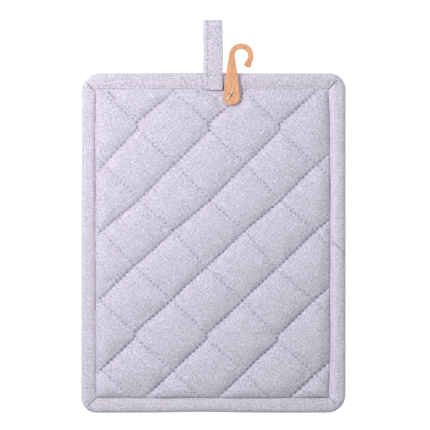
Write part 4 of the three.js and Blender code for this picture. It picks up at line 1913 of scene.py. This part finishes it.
@dataclass(frozen=True)
class ThreadStitches:
    """A run of equal thread stitches, each a bowed dash between two needle holes."""

    name: str
    diameter: float = 0.4
    share: float = 0.6
    bow: float = 0.16
    dip: float = 0.34
    sides: int = 5
    bends: int = 4
    unevenness: float = 0.12
    seed: int = 7

    def tree(self) -> bpy.types.NodeTree:
        """Build the node tree that lays one thread dash on every point.

        Returns:
            The tree.
        """
        tree = bpy.data.node_groups.new(f"{self.name} layout", "GeometryNodeTree")
        face = tree.interface
        face.new_socket("Geometry", in_out="INPUT", socket_type="NodeSocketGeometry")
        for label in ("Thread Radius", "Bow", "Dip", "Unevenness"):
            face.new_socket(label, in_out="INPUT", socket_type="NodeSocketFloat")
        face.new_socket("Seed", in_out="INPUT", socket_type="NodeSocketInt")
        face.new_socket("Thread", in_out="INPUT", socket_type="NodeSocketMaterial")
        face.new_socket("Geometry", in_out="OUTPUT", socket_type="NodeSocketGeometry")
        s = Wiring(tree)
        given = s.add("NodeGroupInput").outputs
        lower = s.maths("MULTIPLY", given["Dip"], -1.0)
        bends = (("Start", -0.5, lower), ("Middle", 0.0, given["Bow"]), ("End", 0.5, lower))
        dash = s.add("GeometryNodeCurveQuadraticBezier", {"Resolution": self.bends} | {
            name: s.add("ShaderNodeCombineXYZ", {"X": x, "Z": height}).outputs[0]
            for name, x, height in bends
        })
        ring = s.add("GeometryNodeCurvePrimitiveCircle", {
            "Resolution": self.sides, "Radius": given["Thread Radius"],
        })
        named = "GeometryNodeInputNamedAttribute"
        length = s.add(named, {"Name": "length"}, data_type="FLOAT")
        ahead = s.add(named, {"Name": "ahead"}, data_type="FLOAT_VECTOR")
        chance = s.add("FunctionNodeRandomValue", {"Seed": given["Seed"]}, data_type="FLOAT")
        spread_from = 1.0 - self.unevenness / 2
        spread = s.maths("MULTIPLY_ADD", chance.outputs[1], given["Unevenness"], spread_from)
        long = s.maths("MULTIPLY", spread, length.outputs[0])
        scale = s.add("ShaderNodeCombineXYZ", {"X": long, "Y": 1.0, "Z": 1.0})
        turn = s.add("FunctionNodeAlignRotationToVector", {"Vector": ahead.outputs[0]}, axis="X")
        upright = s.add("FunctionNodeAlignRotationToVector", {
            "Vector": (0.0, 0.0, 1.0), "Rotation": turn.outputs[0],
        }, axis="Z", pivot_axis="X")
        lay = s.add("GeometryNodeInstanceOnPoints", {
            "Points": given["Geometry"], "Rotation": upright.outputs[0],
            "Scale": scale.outputs[0], "Instance": dash.outputs[0],
        })
        real = s.add("GeometryNodeRealizeInstances", {0: lay.outputs[0]})
        thread = s.add("GeometryNodeCurveToMesh", {
            "Curve": real.outputs[0], "Profile Curve": ring.outputs[0], "Fill Caps": True,
        })
        paint = s.add("GeometryNodeSetMaterial", {
            "Geometry": thread.outputs[0], "Material": given["Thread"],
        })
        s.add("NodeGroupOutput", {0: paint.outputs[0]})
        return tree

    def build(self, rows: Sequence[Array], finish: bpy.types.Material, slot: str) -> bpy.types.Object:
        """Lay the stitches along rows of needle holes.

        Args:
            rows: Needle holes of each row, with the height of the stitch after each.
            finish: The thread's material.
            slot: Not used.

        Returns:
            The stitches, as one mesh.
        """
        starts = np.concatenate([row[:-1] for row in rows]) * MM
        ends = np.concatenate([row[1:] for row in rows]) * MM
        ends[:, 2] = starts[:, 2]
        ahead = ends - starts
        length = np.linalg.norm(ahead, axis=1)
        mesh = bpy.data.meshes.new(f"{self.name}_points")
        mesh.from_pydata(((starts + ends) / 2).tolist(), [], [])
        layer = mesh.attributes.new("length", "FLOAT", "POINT")
        layer.data.foreach_set("value", (length * self.share).astype(np.float32))
        layer = mesh.attributes.new("ahead", "FLOAT_VECTOR", "POINT")
        layer.data.foreach_set("vector", ahead.astype(np.float32).ravel())
        points = bpy.data.objects.new(f"{self.name}_points", mesh)
        bpy.context.scene.collection.objects.link(points)
        tree = self.tree()
        layout = points.modifiers.new("Layout", "NODES")
        layout.node_group = tree
        values = {
            "Thread Radius": self.diameter / 2 * MM, "Bow": self.bow * MM, "Dip": self.dip * MM,
            "Unevenness": self.unevenness, "Seed": self.seed, "Thread": finish,
        }
        for socket in tree.interface.items_tree:
            if socket.in_out == "INPUT" and socket.name in values:
                layout[socket.identifier] = values[socket.name]
        graph = bpy.context.evaluated_depsgraph_get()
        laid = bpy.data.meshes.new_from_object(points.evaluated_get(graph))
        laid.name = self.name
        laid.shade_smooth()
        made = bpy.data.objects.new(self.name, laid)
        bpy.context.scene.collection.objects.link(made)
        bpy.data.objects.remove(points)
        bpy.data.meshes.remove(mesh)
        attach(made, "root")
        log.info("%s: %d stitches, %d faces", self.name, len(starts), len(laid.polygons))
        return made


@dataclass(frozen=True)
class HoleShadeDashes:
    """Painted shade in the needle holes: a short dark dash of thread sunk in the cloth at every hole.
    """

    name: str
    finish: bpy.types.Material
    slot: str
    size: float = 1.0
    sunk: float = 0.28
    seed: int = 17

    def build(self, holes: Array) -> bpy.types.Object:
        """Set a dark dash in every hole.

        Args:
            holes: X, Y and height of the cloth at each hole, in millimetres.

        Returns:
            The dashes, as one mesh.
        """
        half = np.array([self.size / 2, -self.size / 2, 0.0])
        low = holes - np.array([0.0, 0.0, self.sunk])
        rows = list(np.stack([low - half, low + half], axis=1))
        shade_dashes = ThreadStitches(
            self.name, diameter=self.size, share=0.42, bow=0.0, dip=0.02, unevenness=0.3,
            seed=self.seed,
        )
        return shade_dashes.build(rows, self.finish, self.slot)


# ---- finishes


def rgba(colour: Colour, by: float = 1.0) -> tuple[float, float, float, float]:
    """Give a linear colour, made lighter or darker, with its alpha."""
    return tuple(min(1.0, part * by) for part in colour) + (1.0,)


def weave_group() -> bpy.types.NodeTree:
    """Build the plain weave: yarns of two directions, slubs, a heathered dye, and painted shade between
    the yarns.

    Returns:
        The group, with outputs Shade, from dark to light, which holds the dye and the painted shade,
        Warp, a mask, and Height.
    """
    tree = bpy.data.node_groups.new("Heathered Weave", "ShaderNodeTree")
    face = tree.interface
    face.new_socket("Place", in_out="INPUT", socket_type="NodeSocketVector")
    for label in ("Yarn Pitch", "Fleck", "Slub", "Mottle"):
        face.new_socket(label, in_out="INPUT", socket_type="NodeSocketFloat")
    for label in ("Shade", "Warp", "Height"):
        face.new_socket(label, in_out="OUTPUT", socket_type="NodeSocketFloat")
    s = Wiring(tree)
    given = s.add("NodeGroupInput").outputs
    place = given["Place"]
    bent = s.add("ShaderNodeTexNoise", {"Vector": s.scaled(place, 0.16, 0.16, 0.0), "Scale": 1.0})
    wander = s.vector("MULTIPLY_ADD", bent.outputs["Color"], (1.4, 1.4, 0.0), place)
    step = s.maths("DIVIDE", 1.0, given["Yarn Pitch"])
    yarns = s.add("ShaderNodeVectorMath", {0: wander, "Scale": step}, operation="SCALE")
    parts = s.add("ShaderNodeSeparateXYZ", {0: yarns.outputs[0]})
    across = s.maths("SINE", s.maths("MULTIPLY", parts.outputs[0], math.pi))
    along = s.maths("SINE", s.maths("MULTIPLY", parts.outputs[1], math.pi))
    cross = s.maths("MULTIPLY", across, along)
    warp = s.span(cross, -0.12, 0.12, 0.0, 1.0)
    height = s.maths("POWER", s.maths("ABSOLUTE", cross), 0.45)
    tall = s.noise(s.scaled(wander, 2.0, 0.45, 0.0), 1.0, 3.0, 0.65)
    wide = s.noise(s.scaled(wander, 0.5, 2.0, 0.0), 1.0, 3.0, 0.65)
    fine = s.noise(s.scaled(wander, 2.4, 2.4, 0.0), 1.0, 3.0, 0.75)
    speck = s.span(s.noise(s.scaled(wander, 1.7, 1.7, 0.0), 1.0, 1.0, 0.5), 0.6, 0.78, 0.0, -0.5)
    broad = s.noise(s.scaled(place, 0.11, 0.11, 0.0), 1.0, 3.0, 0.55)
    streaks = s.maths("SUBTRACT", s.maths("ADD", tall, wide), 1.0)
    fleck = s.maths("SUBTRACT", fine, 0.5)
    mottle = s.maths("SUBTRACT", broad, 0.5)
    shade = s.maths("MULTIPLY_ADD", streaks, given["Slub"], 0.5)
    shade = s.maths("MULTIPLY_ADD", fleck, given["Fleck"], shade)
    shade = s.maths("ADD", shade, speck)
    shade = s.maths("MULTIPLY_ADD", mottle, given["Mottle"], shade)
    # Painted shade: the weave's low places between the yarn crowns are darker.
    shade = s.maths("MULTIPLY_ADD", s.maths("SUBTRACT", height, 0.7), 0.16, shade)
    thick = s.maths("MULTIPLY_ADD", streaks, 0.8, height)
    s.add("NodeGroupOutput", {"Shade": shade, "Warp": warp, "Height": thick})
    return tree


def base_material(name: str) -> tuple[bpy.types.Material, Wiring, bpy.types.Node]:
    """Start a material.

    Args:
        name: The material's name.

    Returns:
        The material, the calls for its tree, and its shader.
    """
    made = bpy.data.materials.new(name)
    made.use_nodes = True
    s = Wiring(made.node_tree)
    return made, s, s.nodes["Principled BSDF"]


class Lay(Enum):
    """Which way the weave runs: with the piece's sides, or on the bias."""

    STRAIGHT = 0.0
    BIAS = 45.0


@dataclass(frozen=True)
class ClothFinish:
    """Heathered cotton, its weave laid by object place or by the piece's own map."""

    name: str
    colour: Colour
    group: bpy.types.NodeTree
    map_name: str = ""
    lay: Lay = Lay.STRAIGHT
    yarn_pitch: float = 0.52
    fleck: float = 2.9
    slub: float = 1.2
    mottle: float = 0.2
    contrast: float = 0.7
    dark_tint: Colour = (1.0, 0.98, 1.06)
    light_tint: Colour = (1.0, 1.01, 0.965)
    warp_tint: Colour = (1.012, 1.01, 1.01)
    weft_tint: Colour = (0.988, 0.99, 0.995)
    bump: float = 0.35
    # Painted shade and painted light read from the stored values: how dark and how pale they make the
    # colour.
    painted_shade_most: float = 0.8
    painted_shade_by: float = 0.25
    painted_light_part: float = 0.36
    painted_light_by: float = 1.55

    def material(self) -> bpy.types.Material:
        """Build the cloth's material.

        Returns:
            The material.
        """
        made, s, shader = base_material(self.name)
        if self.map_name:
            place = s.add("ShaderNodeUVMap", uv_map=self.map_name).outputs[0]
        else:
            place = s.place()
        turned = s.add("ShaderNodeMapping", {
            "Vector": place, "Rotation": (0.0, 0.0, math.radians(self.lay.value)),
        })
        weave = s.add("ShaderNodeGroup", {
            "Place": turned.outputs[0], "Yarn Pitch": self.yarn_pitch, "Fleck": self.fleck,
            "Slub": self.slub, "Mottle": self.mottle,
        }, node_tree=self.group)
        warp = tuple(a * b for a, b in zip(self.colour, self.warp_tint))
        weft = tuple(a * b for a, b in zip(self.colour, self.weft_tint))
        part = s.span(weave.outputs["Shade"], 0.0, 1.0, 0.0, 1.0)
        sides = []
        for yarn in (weft, warp):
            low = tuple(a * b * (1 - self.contrast) for a, b in zip(yarn, self.dark_tint))
            high = tuple(a * b * (1 + self.contrast) for a, b in zip(yarn, self.light_tint))
            sides.append(s.blend(part, rgba(low), rgba(high)))
        colour = s.blend(weave.outputs["Warp"], *sides)
        # Painted shade where the stored value is positive, painted light where it is negative.
        if self.painted_shade_most:
            painted_light_and_shade = s.add("ShaderNodeAttribute", attribute_name="painted_light_and_shade").outputs["Fac"]
            dark = s.span(painted_light_and_shade, 0.1, 0.9, 0.0, self.painted_shade_most)
            colour = s.blend(dark, colour, rgba(self.colour, self.painted_shade_by))
            pale = s.span(painted_light_and_shade, -0.1, -0.9, 0.0, self.painted_light_part)
            colour = s.blend(pale, colour, rgba(self.colour, self.painted_light_by))
        s.fill(shader, {
            "Base Color": colour,
            "Roughness": s.span(weave.outputs["Shade"], 0.0, 1.0, 0.95, 0.84),
            "Specular IOR Level": 0.2, "Sheen Weight": 0.12, "Sheen Roughness": 0.5,
        })
        s.bump(shader, self.bump, 0.12, weave.outputs["Height"])
        return made


@dataclass(frozen=True)
class LeatherFinish:
    """Tan leather: a mottled, finely grained face and a lighter rubbed edge."""

    name: str = "tan leather"
    colour: Colour = (0.578, 0.295, 0.16)
    edge_colour: Colour = (0.74, 0.43, 0.27)
    grain: float = 0.9
    mottle: float = 0.3

    def material(self) -> bpy.types.Material:
        """Build the leather's material.

        Returns:
            The material.
        """
        made, s, shader = base_material(self.name)
        place = s.place()
        cells = s.add("ShaderNodeTexVoronoi", {"Vector": place, "Scale": 1.6})
        pores = s.noise(place, 1.5, 4.0, 0.75)
        fibre = s.noise(s.scaled(place, 1.1, 0.16, 1.0), 1.0, 3.0, 0.6)
        shade = s.maths("MULTIPLY_ADD", s.maths("SUBTRACT", pores, 0.5), 1.2, fibre)
        low, high = rgba(self.colour, 1 - self.mottle), rgba(self.colour, 1 + self.mottle)
        face = s.blend(s.span(shade, 0.2, 0.8, 0.0, 1.0), low, high)
        rim = s.add("ShaderNodeAttribute", attribute_name="edge").outputs["Fac"]
        worn = s.maths("MULTIPLY", rim, s.span(pores, 0.35, 0.6, 0.35, 0.8))
        s.fill(shader, {
            "Base Color": s.blend(worn, face, rgba(self.edge_colour)),
            "Roughness": s.span(pores, 0.3, 0.7, 0.5, 0.66), "Specular IOR Level": 0.35,
        })
        s.bump(shader, 0.35, 0.1, s.maths("MULTIPLY_ADD", cells.outputs["Distance"], self.grain, pores))
        return made


@dataclass(frozen=True)
class ThreadFinish:
    """Spun sewing thread with a fine twist."""

    name: str
    colour: Colour
    twist: float = 2.4

    def material(self) -> bpy.types.Material:
        """Build the thread's material.

        Returns:
            The material.
        """
        made, s, shader = base_material(self.name)
        fibre = s.noise(s.scaled(s.place(), self.twist, self.twist, self.twist), 1.0, 3.0, 0.6)
        part = s.span(fibre, 0.3, 0.7, 0.0, 1.0)
        s.fill(shader, {
            "Base Color": s.blend(part, rgba(self.colour, 0.82), rgba(self.colour, 1.12)),
            "Roughness": s.span(fibre, 0.3, 0.7, 0.75, 0.6), "Specular IOR Level": 0.3,
        })
        s.bump(shader, 0.4, 0.05, fibre)
        return made


# ---- the studio


@dataclass(frozen=True)
class Lamp:
    """A soft area light that points at a place."""

    name: str
    place: tuple[float, float, float]
    at: tuple[float, float, float]
    size: float
    power: float
    colour: Colour = (1.0, 1.0, 1.0)

    def build(self) -> bpy.types.Object:
        """Make the light.

        Returns:
            The light.
        """
        data = bpy.data.lights.new(self.name, "AREA")
        data.shape = "DISK"
        data.size = self.size * MM
        data.energy = self.power
        data.color = self.colour
        made = bpy.data.objects.new(self.name, data)
        made.location = Vector(self.place) * MM
        way = Vector(self.at) - Vector(self.place)
        made.rotation_euler = way.to_track_quat("-Z", "Y").to_euler()
        made.visible_camera = False
        bpy.context.scene.collection.objects.link(made)
        return made


@dataclass(frozen=True)
class Studio:
    """A pale floor, soft light from the upper left, and a camera straight above."""

    middle: tuple[float, float] = (1.1364, 0.7576)
    across: float = 325.77
    distance: float = 4000.0
    sensor: float = 36.0
    floor_half: float = 4000.0
    floor_colour: Colour = (0.12, 0.12, 0.12)
    floor_glow: float = 1.0
    sky: float = 0.46
    lamps: tuple[Lamp, ...] = (
        Lamp("key", (-420.0, 205.0, 520.0), (0.0, -20.0, 0.0), 220.0, 3.9, (1.0, 0.99, 0.98)),
        Lamp("top", (330.0, 400.0, 850.0), (0.0, 0.0, 0.0), 600.0, 2.8),
    )

    def build(self) -> None:
        """Make the floor, the lights and the camera."""
        scene = bpy.context.scene
        half = self.floor_half
        corners = [(-half, -half, 0.0), (half, -half, 0.0), (half, half, 0.0), (-half, half, 0.0)]
        floor = mesh_object("floor", np.array(corners), [(0, 1, 2, 3)])
        paint, s, shader = base_material("pale floor")
        cloud = s.noise(s.add("ShaderNodeTexCoord").outputs["Object"], 3.0)
        dark = rgba(self.floor_colour, 0.985)
        s.fill(shader, {
            "Base Color": s.blend(cloud, dark, rgba(self.floor_colour)), "Roughness": 0.9,
            "Specular IOR Level": 0.1, "Emission Color": (1.0, 1.0, 1.0, 1.0),
            "Emission Strength": self.floor_glow,
        })
        floor.data.materials.append(paint)
        for lamp in self.lamps:
            lamp.build()
        world = bpy.data.worlds.new("studio")
        world.use_nodes = True
        back = world.node_tree.nodes["Background"]
        back.inputs["Color"].default_value = (1.0, 1.0, 1.0, 1.0)
        back.inputs["Strength"].default_value = self.sky
        scene.world = world
        data = bpy.data.cameras.new("camera")
        data.sensor_width = self.sensor
        data.lens = self.sensor * self.distance / self.across
        data.clip_end = 100.0
        camera = bpy.data.objects.new("camera", data)
        camera.location = Vector((*self.middle, self.distance)) * MM
        scene.collection.objects.link(camera)
        scene.camera = camera
        scene.view_settings.view_transform = "Standard"


# ---- the pot holder


@dataclass(frozen=True)
class Palette:
    """The pot holder's colours, linear."""

    panel: Colour = (0.515, 0.487, 0.592)
    binding: Colour = (0.52, 0.49, 0.59)
    tape: Colour = (0.52, 0.49, 0.59)
    thread: Colour = (0.51, 0.485, 0.585)
    tack: Colour = (0.86, 0.68, 0.60)
    # The dark dashes' colour, painted shade for the needle holes.
    hole: Colour = (0.10, 0.09, 0.13)


def main() -> None:
    """Build every piece in order, and report each."""
    logging.basicConfig(level=logging.INFO, format="%(message)s")
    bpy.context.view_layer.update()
    palette = Palette()
    group = weave_group()
    body = Body.from_frame()
    lattice = Lattice()
    thread = ThreadFinish("lilac thread", palette.thread).material()

    panel = QuiltedPanel(body, lattice)
    cloth = panel.build()
    finish = ClothFinish("quilted cotton", palette.panel, group)
    cloth.data.materials.append(finish.material())
    ThreadStitches("panel_stitching").build(list(panel.stitch_rows()), thread, "panel_cloth")

    # Dark dashes sunk in every needle hole, painted shade for the holes.
    shade = ThreadFinish("needle hole shade", palette.hole).material()
    holes = HoleShadeDashes("panel_hole_shade", shade, "panel_cloth")
    holes.build(panel.needle_holes())

    binding = Binding(body)
    strip = binding.build()
    finish = ClothFinish("bias binding", palette.binding, group, "strip", Lay.BIAS)
    strip.data.materials.append(finish.material())
    sewn = dict(zip(Side, binding.stitch_rows()))
    ThreadStitches("binding_stitching", seed=8).build(list(sewn.values()), thread, "binding_cloth")
    HoleShadeDashes("binding_hole_shade", shade, "binding_cloth", size=0.85).build(sewn[Side.TOP])

    loop = HangingLoop(body)
    tape = loop.build()
    finish = ClothFinish(
        "loop tape", palette.tape, group, "tape", fleck=1.5, slub=1.3, painted_shade_most=0.0,
    )
    tape.data.materials.append(finish.material())
    sewn = list(loop.stitch_rows())
    ThreadStitches("loop_stitching", seed=9).build(sewn, thread, "loop_cloth")
    HoleShadeDashes("loop_hole_shade", shade, "loop_cloth").build(np.concatenate(sewn))

    hook = LeatherHook()
    crook = hook.build()
    crook.data.materials.append(LeatherFinish().material())
    tack = HookTack(hook).build()
    tack.data.materials.append(ThreadFinish("pale thread", palette.tack).material())

    Studio().build()
    log.info("pot holder done")


if __name__ == "__main__":
    main()
